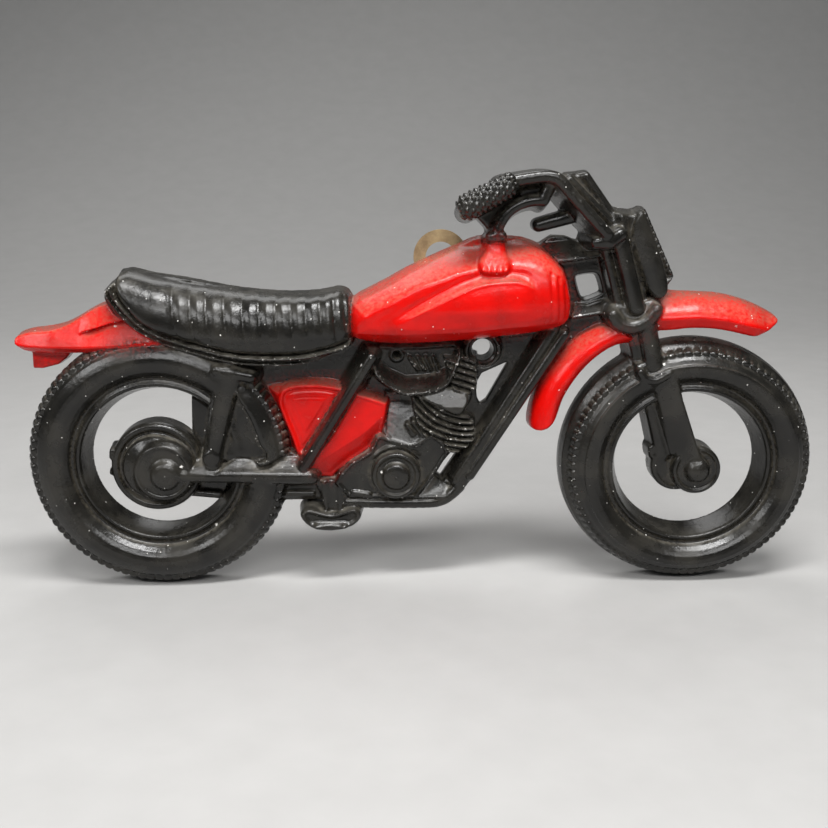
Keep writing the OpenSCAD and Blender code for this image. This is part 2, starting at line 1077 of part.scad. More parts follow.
module bar_far()
    color(paint_black)
        difference() {
            ridge([48.4, 138], [60.6, 122.6], 2.6, 2.6, 7);
            slab(-1, tall) {
                o_clamp_up();
                circle_at([58, 118.3], 4.4);
                o_lamp();
            }
        }

module bar_clamp()
    color(paint_black)
        dished([58, 118.3], 4.4, 0, bar_h + 3, 1.2);

module grip_solid()
    rod([12.2, 129.4], [26, 136.4], grip_r, grip_r - 0.6, grip_h);

module grip_near()
    color(paint_dark)
        grip_solid();

module lever()
    color(paint_black)
        difference() {
            union() {
                rod([23, 118.6], [30.6, 128.2], 1.5, 1.2, bar_h - 1);
                rod([30.6, 128.2], [38.4, 131.6], 1.2, 1.2, bar_h - 1);
                translate([30.6, 1 - bar_h, 128.2])
                    sphere(r = 1.5);
                translate([38.2, -bar_h, 130.6])
                    cylinder(h = 6.4, r = 2);
            }
            translate([22.9, -12.6, 113.6])
                cylinder(h = 6.8, r1 = 2.9, r2 = 2.2);
            bar_tube();
        }

module grip_far()
    color(paint_dark)
        difference() {
            ridge([27, 119.6], [54, 126.2], 2.1, 2.1, 5);
            slab(-1, tall) {
                circle_at([58, 118.3], 4.4);
                strip([48.4, 138], [60.6, 122.6], 2.6, 2.6);
                o_tank();
            }
        }

// ---------- hanger ----------

module hanger_rivet()
    color(old_brass) {
        disc(rivet_p, rivet_r, -ring_t - ring_gap * 2, 9);
        disc(rivet_p, rivet_head_r, -back_h, -ring_t - ring_gap * 2);
    }

module hanger()
    color(old_brass)
        translate([0, ring_gap + ring_t, 0])
            slab(0, ring_t)
                difference() {
                    union() {
                        circle_at(rivet_p + [0, ring_drop], ring_od / 2);
                        circle_at(rivet_p, 3.6);
                        translate(rivet_p - [3.6, 0])
                            square([7.2, ring_drop - 6]);
                    }
                    circle_at(rivet_p + [0, ring_drop], ring_id / 2);
                    circle_at(rivet_p, rivet_r + rivet_fit);
                }

// ---------- assembly ----------

place() {
    rear_tyre();
    rear_tread();
    rear_rim();
    rear_sprocket();
    rear_hub_web();
    swing_arm();
    arm_gusset();
    lower_rail();
    shock_body();
    shock_mount();
    rear_fender();
    tail_lug();
    seat_base();
    seat_cushion();
    fuel_tank();
    tank_panel();
    filler_cap();
    side_cover_rear();
    side_cover_front();
    side_web();
    diagonal_tube();
    down_tube();
    cradle_tube();
    engine_web();
    crankcase();
    clutch_cover();
    intake_block();
    cylinder_barrel();
    cylinder_head();
    air_cleaner();
    coil_ring();
    stand_stem();
    stand_pad();
    neck_web();
    fork_tube_near();
    fork_tube_far();
    upper_clamp();
    lower_clamp();
    stanchion();
    fork_collar();
    fork_leg_near();
    fork_leg_far();
    front_hub();
    brake_plate();
    front_tyre();
    front_tread();
    front_rim();
    front_fender();
    front_mudflap();
    headlight_shell();
    headlight_lens();
    handlebar();
    bar_far();
    bar_clamp();
    grip_near();
    lever();
    grip_far();
    hanger_rivet();
    hanger();
}
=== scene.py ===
"""Looks of a painted cast-metal motorcycle plaque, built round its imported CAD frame.

The casting is one field of signed distances on a grid. Each visible feature is added to it with
a small fillet, the way a founder's pattern is built up, and the field is meshed once and split
into the named sub-parts, which meet without a gap. Places are plaque coordinates in millimetres:
x along the motorcycle, z up, and h the height of the relief above its flat back.
"""

import math

import bpy
import numpy as np
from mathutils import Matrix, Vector


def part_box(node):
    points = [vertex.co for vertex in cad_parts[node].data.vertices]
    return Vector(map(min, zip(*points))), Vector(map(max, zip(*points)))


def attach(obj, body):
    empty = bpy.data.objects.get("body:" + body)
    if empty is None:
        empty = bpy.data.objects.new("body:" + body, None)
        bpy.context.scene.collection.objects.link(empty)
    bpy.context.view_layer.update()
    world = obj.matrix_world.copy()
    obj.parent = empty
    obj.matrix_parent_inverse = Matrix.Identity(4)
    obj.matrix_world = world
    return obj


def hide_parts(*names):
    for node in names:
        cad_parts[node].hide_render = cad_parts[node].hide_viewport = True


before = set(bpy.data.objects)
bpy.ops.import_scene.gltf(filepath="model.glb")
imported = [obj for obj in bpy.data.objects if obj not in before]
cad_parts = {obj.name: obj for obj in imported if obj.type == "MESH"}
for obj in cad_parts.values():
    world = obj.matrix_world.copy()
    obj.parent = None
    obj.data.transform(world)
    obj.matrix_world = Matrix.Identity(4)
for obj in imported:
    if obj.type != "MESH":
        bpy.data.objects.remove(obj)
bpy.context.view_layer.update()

MM = 1000.0
VOXEL = 0.4  # grid step of the casting's field
FAR = 8.0  # distance that stands for "nothing near"
REACH = 4.4  # how far outside a feature its distance is worked out

# ---------- driving dimensions ----------

REAR_X = -88.7  # rear axle in plaque coordinates
WINDOW_R = 24.0  # opening inside a rim
WEB_H = 3.0  # thin plates between the parts
ENGINE_H = 10.0
FENDER_H = 11.0
SEAT_H = 18.0
SEAT_R = 14.5  # radius of the cushion above its crown line
TANK_H = 20.0
TANK_R = 20.0  # radius of its crown across the tank
BAR_H = 16.0
BAR_LEAN = 0.19  # the handlebar walls run down towards the back
GRIP_H = 18.0
STUD_PITCH = 1.75  # rings of studs along the grip
STUDS_ROUND = 11
KNOB_PITCH = 2.9
DRAFT = 0.10  # how much a wall widens towards the back
BEND_BLEND = 0.4  # rounding where two lengths of a bar meet
STEEPEST = 3.0  # slope of a top above which its distance isn't corrected any more
TABLE_STEP = 0.1  # grid of a turned shape's profile
KNOB_R = 1.0  # tread knobs: rounding and half width
KNOB_HALF = 0.45


def row_box(node):
    """A CAD node's corners in millimetres of the row frame."""
    lo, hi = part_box(node)
    return np.array(lo) * MM, np.array(hi) * MM


rear_lo, rear_hi = row_box("rear_tread")
front_lo, front_hi = row_box("front_tread")
SHIFT = (rear_lo[0] + rear_hi[0]) / 2 - REAR_X
BACK = row_box("side_web")[1][1]
REAR = np.array([REAR_X, (rear_lo[2] + rear_hi[2]) / 2])
FRONT = np.array([(front_lo[0] + front_hi[0]) / 2 - SHIFT, (front_lo[2] + front_hi[2]) / 2])
REAR_R = (rear_hi[0] - rear_lo[0]) / 2
FRONT_R = (front_hi[0] - front_lo[0]) / 2

NAMES = [n for n in sorted(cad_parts) if n not in ("hanger", "hanger_rivet")]
RED_PARTS = {
    "rear_fender", "tail_lug", "fuel_tank", "tank_panel", "filler_cap",
    "side_cover_rear", "side_cover_front", "front_fender", "front_mudflap",
}


def to_row(p):
    """Plaque coordinates (x, z, h) to the row frame in metres."""
    p = np.asarray(p, float)
    return np.stack([p[..., 0] + SHIFT, BACK - p[..., 2], p[..., 1]], -1) / MM


# ---------- plan shapes: signed distance in the side view ----------


class Plan:
    """A side-view outline: fn(x, z) is its signed distance, lo and hi are its corners."""

    def __init__(self, fn, lo, hi):
        self.fn, self.lo, self.hi = fn, np.array(lo, float), np.array(hi, float)

    def __call__(self, x, z):
        return self.fn(x, z)

    def __or__(self, other):
        return Plan(lambda x, z: np.minimum(self(x, z), other(x, z)),
                    np.minimum(self.lo, other.lo), np.maximum(self.hi, other.hi))

    def __sub__(self, other):
        return Plan(lambda x, z: np.maximum(self(x, z), -other(x, z)), self.lo, self.hi)


def curve(points, steps=4, closed=True):
    """A smooth line through the points (Catmull-Rom), with steps between two of them."""
    p = np.array(points, float)
    n = len(p)
    out = []
    for i in range(n if closed else n - 1):
        at = [(i + k) % n if closed else min(max(i + k, 0), n - 1) for k in (-1, 0, 1, 2)]
        a, b, c, d = p[at]
        for t in np.arange(steps) / steps:
            out.append((2 * b + (c - a) * t + (2 * a - 5 * b + 4 * c - d) * t * t
                        + (3 * b - a - 3 * c + d) * t ** 3) / 2)
    if not closed:
        out.append(p[-1])
    return np.array(out)


def on_segment(ax, az, bx, bz, x, z):
    """Nearest place along a segment, 0 to 1, and the offsets from it in x and z."""
    dx, dz = bx - ax, bz - az
    t = np.clip(((x - ax) * dx + (z - az) * dz) / (dx * dx + dz * dz), 0, 1)
    return t, x - ax - t * dx, z - az - t * dz


def from_segments(a, b, x, z):
    """Signed distance to closed loops given as segments a to b."""
    best = np.full(np.broadcast_shapes(x.shape, z.shape), 1e6, np.float32)
    rays = np.zeros((3, *best.shape), bool)  # crossings to the right, to the left and upwards
    for (ax, az), (bx, bz) in zip(a, b):
        dx, dz = bx - ax, bz - az
        if dx * dx + dz * dz < 1e-12:
            continue
        _, ex, ez = on_segment(ax, az, bx, bz, x, z)
        np.minimum(best, ex ** 2 + ez ** 2, out=best)
        if az != bz:
            level = (az <= z) != (bz <= z)
            right = x < ax + (z - az) * dx / dz
            rays[0] ^= level & right
            rays[1] ^= level & ~right
        if ax != bx:
            rays[2] ^= ((ax <= x) != (bx <= x)) & (z < az + (x - ax) * dz / dx)
    inside = rays.sum(0) >= 2
    best = np.sqrt(best)
    return np.where(inside, -best, best)


def poly(points, steps=1):
    p = curve(points, steps) if steps > 1 else np.array(points, float)
    q = np.roll(p, -1, 0)
    return Plan(lambda x, z: from_segments(p, q, x, z), p.min(0), p.max(0))


def circle(c, r):
    c = np.array(c, float)
    return Plan(lambda x, z: np.hypot(x - c[0], z - c[1]) - r, c - r, c + r)


def line_distance(points, x, z):
    """Unsigned distance to a polyline."""
    best = np.full(np.broadcast_shapes(x.shape, z.shape), 1e6, np.float32)
    for a, b in zip(points[:-1], points[1:]):
        _, ex, ez = on_segment(*a, *b, x, z)
        np.minimum(best, ex ** 2 + ez ** 2, out=best)
    return np.sqrt(best)


def above_line(points, x, z):
    """How far above a line z(x) through the points, in millimetres; negative below it."""
    p = np.array(points, float)
    return (z - np.interp(x, p[:, 0], p[:, 1])).astype(np.float32)


def cad_outline(*nodes):
    """The side-view outline of CAD nodes, read from their front-facing faces."""
    ends = []
    for name in nodes:
        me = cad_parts[name].data
        me.calc_loop_triangles()
        co = np.zeros(len(me.vertices) * 3, np.float32)
        me.vertices.foreach_get("co", co)
        co = co.reshape(-1, 3).astype(float) * MM
        p = np.stack([co[:, 0] - SHIFT, co[:, 2], BACK - co[:, 1]], -1)
        tri = np.zeros(len(me.loop_triangles) * 3, np.int32)
        me.loop_triangles.foreach_get("vertices", tri)
        tri = tri.reshape(-1, 3)
        _, first, weld = np.unique(np.round(p * 500).astype(int), axis=0,
                                   return_index=True, return_inverse=True)
        p, tri = p[first], weld.ravel()[tri]
        n = np.cross(p[tri[:, 1]] - p[tri[:, 0]], p[tri[:, 2]] - p[tri[:, 0]])
        size = np.linalg.norm(n, axis=1)
        tri = tri[(size > 1e-6) & (n[:, 2] > 0.02 * np.maximum(size, 1e-9))]
        edges = np.concatenate([tri[:, [0, 1]], tri[:, [1, 2]], tri[:, [2, 0]]])
        known = set(map(tuple, edges))
        rim = np.array([e for e in known if (e[1], e[0]) not in known])
        a, b = p[rim[:, 0], :2], p[rim[:, 1], :2]
        u = b - a
        u /= np.maximum(np.linalg.norm(u, axis=1, keepdims=True), 1e-9)
        probe = (a + b) / 2 + np.stack([u[:, 1], -u[:, 0]], -1) * 0.03
        covered = np.zeros(len(probe), bool)
        for t in tri:
            q = p[t, :2]
            side = [(q[(k + 1) % 3, 0] - q[k, 0]) * (probe[:, 1] - q[k, 1])
                    - (q[(k + 1) % 3, 1] - q[k, 1]) * (probe[:, 0] - q[k, 0]) for k in range(3)]
            covered |= (side[0] > 0) & (side[1] > 0) & (side[2] > 0)
        ends.append((a[~covered], b[~covered]))
    plans = [Plan(lambda x, z, a=a, b=b: from_segments(a, b, x, z),
                  np.minimum(a, b).min(0), np.maximum(a, b).max(0)) for a, b in ends]
    whole = plans[0]
    for other in plans[1:]:
        whole = whole | other
    return whole


# ---------- the field ----------


def soft_min(a, b, k):
    h = np.maximum(k - np.abs(a - b), 0)
    return np.minimum(a, b) - h * h / (4 * k)


def soft_max(a, b, k):
    h = np.maximum(k - np.abs(a - b), 0)
    return np.maximum(a, b) + h * h / (4 * k)


def corner(p, q, r):
    """Distance to the meeting of two sides p and q, rounded to radius r."""
    p, q = p + r, q + r
    return np.minimum(np.maximum(p, q), 0) + np.hypot(np.maximum(p, 0), np.maximum(q, 0)) - r


GX = np.arange(-136.4, 135.6, VOXEL, dtype=np.float32)
GZ = np.arange(-1.8, 143.0, VOXEL, dtype=np.float32)
GH = np.arange(-1.7, 24.0, VOXEL, dtype=np.float32)
GRID = (len(GX), len(GZ), len(GH))
solid = np.full(GRID, FAR, np.float32)
nearest = np.full(GRID, FAR, np.float32)
owner = np.zeros(GRID, np.uint8)
to_red = np.full(GRID, FAR, np.float32)
to_black = np.full(GRID, FAR, np.float32)


def window(lo, hi, reach=REACH):
    """The part of the grid round a side-view box, with its coordinates."""
    i0, i1 = np.searchsorted(GX, [lo[0] - reach, hi[0] + reach])
    k0, k1 = np.searchsorted(GZ, [lo[1] - reach, hi[1] + reach])
    cut = (slice(i0, i1), slice(k0, k1), slice(None))
    return cut, GX[i0:i1, None, None], GZ[None, k0:k1, None], GH[None, None, :]


def stamp(name, cut, d, fillet):
    """Joins a feature to the casting and remembers which sub-part and paint it has."""
    d = d.astype(np.float32)
    solid[cut] = soft_min(solid[cut], d, fillet)
    closer = d < nearest[cut]
    owner[cut][closer] = NAMES.index(name) + 1
    nearest[cut] = np.minimum(nearest[cut], d)
    paint = to_red if name in RED_PARTS else to_black
    paint[cut] = np.minimum(paint[cut], d)


def relief(name, plan, top, edge=0.8, draft=DRAFT, fillet=0.8):
    """A raised shape with a side-view outline. top is a height or a function of (x, z, d)."""
    cut, x, z, h = window(plan.lo, plan.hi)
    x2, z2 = x[:, :, 0], z[:, :, 0]
    d = plan(x2, z2)
    height = np.broadcast_to(top(x2, z2, d) if callable(top) else np.float32(top), d.shape)
    gx, gz = np.gradient(height.astype(np.float32), VOXEL)
    lean = 1 / np.sqrt(1 + np.minimum(gx * gx + gz * gz, STEEPEST ** 2))
    drop = h - height[:, :, None]
    side = d[:, :, None] - np.maximum(-drop, 0) * draft
    stamp(name, cut, corner(side, drop * lean[:, :, None], edge), fillet)


def bar(name, points, radii, heights, draft=DRAFT, fillet=1.0, lean=0.0):
    """A round-topped bar along a line of points, with sides to the back that may lean down."""
    p = np.array(points, float)
    r = np.broadcast_to(np.array(radii, float), len(p))
    c = np.broadcast_to(np.array(heights, float), len(p))
    drop = lean * c.max()
    cut, x, z, h = window((p - r[:, None]).min(0) - (0, drop), (p + r[:, None]).max(0))
    z = z + lean * np.maximum(c.mean() - h, 0)
    best = None
    for i in range(len(p) - 1):
        t, ex, ez = on_segment(*p[i], *p[i + 1], x, z)
        e = np.hypot(ex, ez)
        rad = r[i] + (r[i + 1] - r[i]) * t
        up = h - (c[i] + (c[i + 1] - c[i]) * t)
        d = np.where(up > 0, np.hypot(e, up), e + up * draft) - rad
        best = d if best is None else soft_min(best, d, BEND_BLEND)
    stamp(name, cut, best, fillet)


def turned(name, c, profile, fillet=0.6, oval=1.0):
    """A shape turned about an axis along h at c. profile is a closed (radius, height) outline."""
    p = np.array(profile, float)
    table_r = np.arange(0, p[:, 0].max() + REACH + 2, TABLE_STEP, dtype=np.float32)
    table_h = np.arange(GH[0], GH[-1] + 2 * TABLE_STEP, TABLE_STEP, dtype=np.float32)
    table = from_segments(p, np.roll(p, -1, 0), table_r[:, None], table_h[None, :])
    table = table.astype(np.float32)
    r = p[:, 0].max()
    cut, x, z, h = window(np.array(c) - r, np.array(c) + r)
    rad = np.hypot(x[:, :, 0] - c[0], (z[:, :, 0] - c[1]) / oval)
    fr = np.clip(rad / TABLE_STEP, 0, len(table_r) - 1.001)
    fh = np.clip((GH - table_h[0]) / TABLE_STEP, 0, len(table_h) - 1.001)
    ir, ih = fr.astype(int), fh.astype(int)
    ur, uh = (fr - ir)[:, :, None], (fh - ih)[None, None, :]
    a = table[ir][:, :, ih] * (1 - uh) + table[ir][:, :, ih + 1] * uh
    b = table[ir + 1][:, :, ih] * (1 - uh) + table[ir + 1][:, :, ih + 1] * uh
    stamp(name, cut, a * (1 - ur) + b * ur, fillet)


def carve(plan, depth, fillet=0.8, from_front=None):
    """Takes away from the back up to a depth, or from the front down to a height."""
    cut, x, z, h = window(plan.lo, plan.hi)
    d = plan(x[:, :, 0], z[:, :, 0])[:, :, None]
    end = h - depth if from_front is None else from_front - h
    solid[cut] = soft_max(solid[cut], -corner(d, end, 0.8), fillet)


def bump(x, centre, width):
    return np.exp(-((x - centre) / width) ** 2)


def ramp(x, a, b):
    t = np.clip((x - a) / (b - a), 0, 1)
    return t * t * (3 - 2 * t)


# ---------- plates between the parts ----------

for plate in ("side_web", "engine_web", "rear_hub_web"):
    relief(plate, cad_outline(plate), WEB_H, 0.5, 0.0, 1.2)

# ---------- wheels ----------

back = GH[0] - 1  # turned shapes start below the back plane, which is cut flat at the end


def wheel(side, c, cad_r, wider, offset, inset):
    """Tyre, rim and a knobbed tread of width inset, as high as the CAD wheel and a little wider.

    The casting's wheels are not quite true circles, and offset moves tyre and rim off centre.
    """
    r = cad_r + wider
    oval = cad_r / r
    shoulder = r - inset
    dome = c + offset
    tyre = [(29.2, back), (29.2, 8.6), (30.2, 10.2), (31.6, 11.7), (33.1, 12.7), (34.8, 13.1),
            (36.4, 13), (shoulder - 3.6, 12.3), (shoulder - 2.0, 11.4), (shoulder - 0.8, 10.2),
            (shoulder, 8.8), (shoulder, back)]
    turned(side + "_tyre", dome, tyre, 0.3, oval)
    turned(side + "_tread", c, [
        (shoulder - 1.5, back), (shoulder - 1.5, 8.6), (shoulder + 0.8, 8.0), (r - 1.0, 6.4),
        (r - 0.2, 3.0), (r, back)
    ], 0.3, oval)
    turned(side + "_rim", dome, [
        (WINDOW_R, back), (WINDOW_R, 0.6), (26.2, 8.9), (26.7, 9.7), (27.3, 9.7), (28, 9.2),
        (28.8, 8.8), (31.4, 8.8), (31.4, back)
    ], 0.3, oval)
    count = round(2 * math.pi * (r - 3) / KNOB_PITCH)
    cut, x, z, h = window(c - r, c + r)
    z = dome[1] + (z - dome[1]) / oval
    rad = np.hypot(x - dome[0], z - dome[1])
    step = 2 * math.pi / count
    angle = np.arctan2(z - dome[1], x - dome[0]) / step
    across = (angle - np.round(angle)) * step * rad
    a, b = np.array([shoulder - 0.1, 9.6]), np.array([shoulder + 1.3, 6.2])
    u = b - a
    t = np.clip(((rad - a[0]) * u[0] + (h - a[1]) * u[1]) / (u @ u), 0, 1)
    d = np.sqrt((rad - a[0] - t * u[0]) ** 2 + (h - a[1] - t * u[1]) ** 2
                + np.maximum(np.abs(across) - KNOB_HALF, 0) ** 2) - KNOB_R
    stamp(side + "_tread", cut, d, 0.3)


wheel("rear", REAR, REAR_R, 0.4, (0, 0), 2.5)
wheel("front", FRONT, FRONT_R, 1.2, (0.7, -0.8), 3.7)

SPROCKET = (-89.9, 41.9)
turned("rear_sprocket", SPROCKET, [
    (0, back), (0, 12.6), (6.4, 12.6), (7.3, 12.3), (9.4, 11.1), (10.5, 10.5), (11.1, 9.6),
    (11.4, 8), (12.3, 7.7), (13.2, 8.7), (14.3, 8.8), (15, 8.1), (15.4, 6.8), (15.7, back)
], 0.3)
bar("rear_sprocket", [(-104.6, 45.4), (-104.4, 47.4)], 1.1, 7.4, fillet=0.5)
bar("rear_sprocket", [(-105.2, 39.6), (-105, 40.6)], 0.9, 6.6, fillet=0.5)

# ---------- swing arm, ledge, shock ----------

behind_shock = poly([
    (-71.6, 44.5), (-69.6, 58), (-66, 74), (-60.6, 65.4), (-58.5, 61.6), (-56.6, 57.4),
    (-54.5, 50.6), (-52.8, 45)
], 2)
carve(behind_shock, 0, 1.6, 9.2)
relief("rear_hub_web", behind_shock,
       lambda x, z, d: 9.0 - 0.10 * np.clip(z - 46, 0, 30), 0.6, 0.1, 1.4)
gusset = poly([
    (-68, 39), (-68, 41.6), (-65.4, 43.8), (-62.7, 45), (-58.4, 44.8), (-54.7, 43.2), (-50.5, 44.4),
    (-46.6, 46.4), (-43.2, 46), (-38.4, 42), (-40, 39)
], 3)
carve(gusset, 0, 0.8, 7.8)
relief("arm_gusset", gusset,
       lambda x, z, d: 13.4 - 1.12 * np.clip(above_line([(-70, 41), (-38, 40.2)], x, z), 0, 5),
       0.5, 0.1, 0.5)
bar("swing_arm", [(-84, 40.2), (-72, 39.7), (-37.5, 38.7)], [2.3, 2.2, 2.1], [11.8, 11.6, 11.4],
    0.2, 0.9)
bar("swing_arm", [(-78, 41.6), (-70, 42.6)], [1.4, 1.6], [11.4, 11.0], 0.3, 1.4)
turned("rear_sprocket", (-87, 41.2), [
    (0, back), (0, 12.9), (7.9, 12.9), (8.6, 13.4), (9.2, 13.2), (10.6, 11.4), (10.9, 10),
    (10.9, back)
], 0.4)
turned("swing_arm", (-86, 40.4), [
    (0, back), (0, 15.4), (3, 15.2), (4.2, 14.6), (5.6, 12.9), (5.9, back)
], 0.8)
bar("shock_body", [(-70.2, 47), (-64.4, 74.2)], [2.5, 4.6], [10.4, 9.6], 0.12, 1.0)
bar("shock_body", [(-72.6, 49), (-69.2, 66)], [0.8, 0.9], [9.6, 9.6], 0.05, 0.5)
relief("shock_body", circle((-70.8, 45.9), 2.9), 13.2, 1.2, 0.1, 1.0)
bar("shock_mount", [(-67.6, 75.8), (-57, 73.4)], 2.0, [12.2, 11.0], 0.2, 0.8)
rail = poly([(-53, 29), (-53, 34.6), (-36, 35.6), (-33.6, 29.2)])
relief("lower_rail", rail, 6.4, 1.2)
bar("lower_rail", [(-48, 31.6), (-38, 31.4)], 1.3, 6.2, fillet=0.6)
bar("swing_arm", [(-79, 31.5), (-70, 30.6)], 1.2, 4.4, fillet=0.6)

# ---------- rear bodywork and seat ----------

crease = [(-134, 84.2), (-130, 83.4), (-112, 83.1), (-98, 83.6), (-86, 84.6)]
LEAF = [(-112, 87.6), (-107, 89.2), (-102, 90.8), (-97, 91.8)]


def fender_top(x, z, d):
    a = above_line(crease, x, z)
    tip = 2.4 * ramp(-x, 120, 134)
    body = FENDER_H - tip - np.where(a > 0, 0.42 * a, -1.2 * a)
    fold = above_line(LEAF, x, z)
    along = ramp(x, -113, -108)
    return body + along * np.where(fold > 0, 1.5 * np.exp(-fold / 4.5), -0.9 * np.exp(fold / 1.3))


relief("rear_fender", poly([
    (-133.6, 84.4), (-133, 86.4), (-128.9, 87.8), (-123, 88.4), (-117.7, 89.7), (-113.3, 91.9),
    (-109.4, 94.3), (-104, 96.8), (-97, 97), (-90, 92), (-84, 88), (-88.6, 82.4), (-105.8, 81.5),
    (-116.9, 81.1), (-128.2, 81.2), (-132, 82.2)
], 3), fender_top, 0.7, 0.1, 0.5)
relief("tail_lug", poly([
    (-129.2, 84), (-129.4, 75.4), (-126.3, 75.3), (-121.2, 76.6), (-118.4, 78.6), (-114, 84)
]), 4.6, 0.6)

seat_all = cad_outline("seat_base", "seat_cushion")
cushion = poly([
    (-98.6, 105.4), (-96.6, 107.3), (-94.2, 107.6), (-87.9, 106), (-77.9, 104.5), (-66.9, 102.3),
    (-57.5, 100.7), (-47.4, 99.6), (-36.3, 99.6), (-31, 100.4), (-27.2, 101.2), (-24.6, 99),
    (-24.2, 90), (-25.2, 85.6), (-32.5, 83.4), (-39.7, 81.8), (-50.7, 81.4), (-61.7, 82.2),
    (-72.2, 84.9), (-82.9, 88.2), (-89.8, 91.8), (-95.2, 97.3), (-98, 101.6)
], 3)
SEAMS = [-80.1, -74.6, -69.6, -63.9, -58.2, -52.9, -47.6, -42.7, -38.0, -33.2, -28.9, -25.4]


def rib_wave(x, z):
    """0 in a seam, 1 on the crown of a rib; plain behind the last seam."""
    lean = x + 0.10 * (z - 94)
    gap = np.min([np.abs(lean - s) for s in SEAMS], axis=0)
    return np.where(lean > SEAMS[0] - 2, np.clip(gap / 2.4, 0, 1) ** 0.6, 1.0)


CROWN = [(-98, 95.6), (-88, 92.2), (-76, 89.4), (-60, 87.6), (-44, 87.6), (-24, 89.6)]


def cushion_top(x, z, d):
    off = above_line(CROWN, x, z)
    under = np.maximum(-off, 0)
    top = SEAT_H - SEAT_R + np.sqrt(np.maximum(SEAT_R ** 2 - np.maximum(off, 0) ** 2, 9.0))
    top = top - 0.42 * under * ramp(under, 0, 3) - 0.012 * under ** 2
    top = top - 2.0 * ramp(-x, 84, 99) - 1.6 * ramp(x, -31, -25)
    return top - 1.15 * (1 - rib_wave(x, z)) * ramp(z, 82.5, 87)


def base_top(x, z, d):
    c = cushion(x, z)
    over = ramp(above_line(CROWN, x, z), 2, 6) * ramp(x, -99, -95)
    top = 10.6 - 0.35 * np.maximum(c, 0) + 5.2 * bump(c, 1.6, 0.95) + 3.6 * bump(c, 3.8, 0.8)
    return top * (1 - over) + 3.0 * over


relief("seat_base", seat_all, base_top, 0.7, 0.1, 0.6)
relief("seat_cushion", cushion, cushion_top, 1.8, 0.1, 0.35)

# ---------- tank ----------

tank = poly([
    (-24.2, 86.4), (-24.4, 92), (-23.4, 97.6), (-17.5, 101.2), (-10.9, 104.6), (-5.4, 107.8),
    (5.4, 113), (12.9, 116.3), (18, 118.2), (25, 118.3), (32.4, 117.8), (37, 116), (41, 113),
    (45.6, 107.8), (47.4, 102), (48.2, 96.8), (47.8, 92), (46, 89.2), (41.1, 87.5), (32.8, 85.9),
    (21.9, 85), (11, 84), (-0.2, 83.2), (-11.1, 83.2), (-19.3, 84.2)
], 2)
panel = poly([
    (-8.8, 91.4), (-3.1, 95.6), (4.8, 99.8), (15.2, 104.6), (23.1, 106.1), (31, 106), (35.6, 103),
    (37.6, 97.5), (36.8, 92.6), (26.6, 91.4), (15.6, 90.3), (5, 89.9), (-5, 89.8)
], 3)
RIDGE = curve([
    (-21.6, 91.4), (-16.4, 95.9), (-11, 98.4), (-3.1, 103.1), (4.8, 105.6), (11.1, 107.8),
    (15.2, 108.4)
], 4, False)
UNDER = [(-24, 88.6), (-8.5, 88.4), (5, 89), (15.6, 89.2), (26.6, 90.5), (37.2, 90.8), (49, 92.5)]
FLUTES = [[(40.4, 107.4), (41.2, 93)], [(42.9, 106), (43.7, 93)], [(45.2, 103.6), (46, 94)]]


def above_belt(x, z):
    """1 along the upper, left edge of the raised panel, 0 along its lower and right edges."""
    return ramp(z, 91, 97) * ramp(-x, -37, -31)


def tank_top(x, z, d):
    a, b = np.array([-40, 89.4]), np.array([60, 101.6])
    u = (b - a) / np.linalg.norm(b - a)
    off = (x - a[0]) * -u[1] + (z - a[1]) * u[0]
    mid = (x - 14) / 44.0
    top = TANK_H - TANK_R + np.sqrt(np.maximum(TANK_R ** 2 - off ** 2, 36.0)) - 4.2 * mid ** 2
    rim = np.clip(-d / 7.5, 0, 1)
    top = top * (0.52 + 0.48 * np.sqrt(1 - (1 - rim) ** 2))
    ridge = line_distance(RIDGE, x, z)
    top = top + 0.75 * bump(ridge, 0, 1.7)
    below = -above_line(UNDER, x, z)
    top = top - np.maximum(below, 0) * 0.75
    p = panel(x, z)
    top = top - 0.8 * bump(p, 1.5, 1.3) * above_belt(x, z)
    for flute in FLUTES:
        top = top - 0.55 * bump(line_distance(flute, x, z), 0, 0.55)
    return top


def panel_top(x, z, d):
    edge = (0.9 + 0.35 * bump(-d, 0.8, 0.7)) * above_belt(x, z)
    return tank_top(x, z, tank(x, z)) + edge * ramp(-d, -0.2, 1.4)


relief("fuel_tank", tank, tank_top, 1.6, 0.06, 0.8)
relief("tank_panel", panel, panel_top, 0.4, 0.0, 0.5)


def post(name, x0, h0, z0, z1, r0, r1, edge, fillet):
    """An upright round post on the casting, from radius r0 at z0 to r1 at z1."""
    r = max(r0, r1) + 1
    cut, x, z, h = window((x0 - r, z0), (x0 + r, z1))
    t = np.clip((z - z0) / (z1 - z0), 0, 1)
    side = np.hypot(x - x0, h - h0) - (r0 + (r1 - r0) * t)
    stamp(name, cut, corner(side, np.abs(z - (z0 + z1) / 2) - (z1 - z0) / 2, edge), fillet)


def cap_top(x, z, d):
    a = z - 108.4
    lobe = 0.35 * np.cos((x - 22.2) * 2 * math.pi / 1.9) * bump(a, 0, 1.2)
    return np.where(a > 0, 18.6 - 0.62 * a, 18.6 + 0.9 * a) - 0.035 * (x - 22.3) ** 2 + lobe


relief("filler_cap", poly([
    (17.4, 111), (17.8, 108.6), (19.6, 107.2), (22.2, 106.8), (25, 107.2), (26.8, 108.8),
    (27, 111.4), (25.6, 114.6), (25, 117), (20.6, 117), (19.4, 114.6)
], 3), cap_top, 1.0, 0.1, 1.2)
post("filler_cap", 22.9, 11.6, 111, 119.8, 3.1, 2.4, 0.8, 1.4)

# ---------- side covers and frame ----------

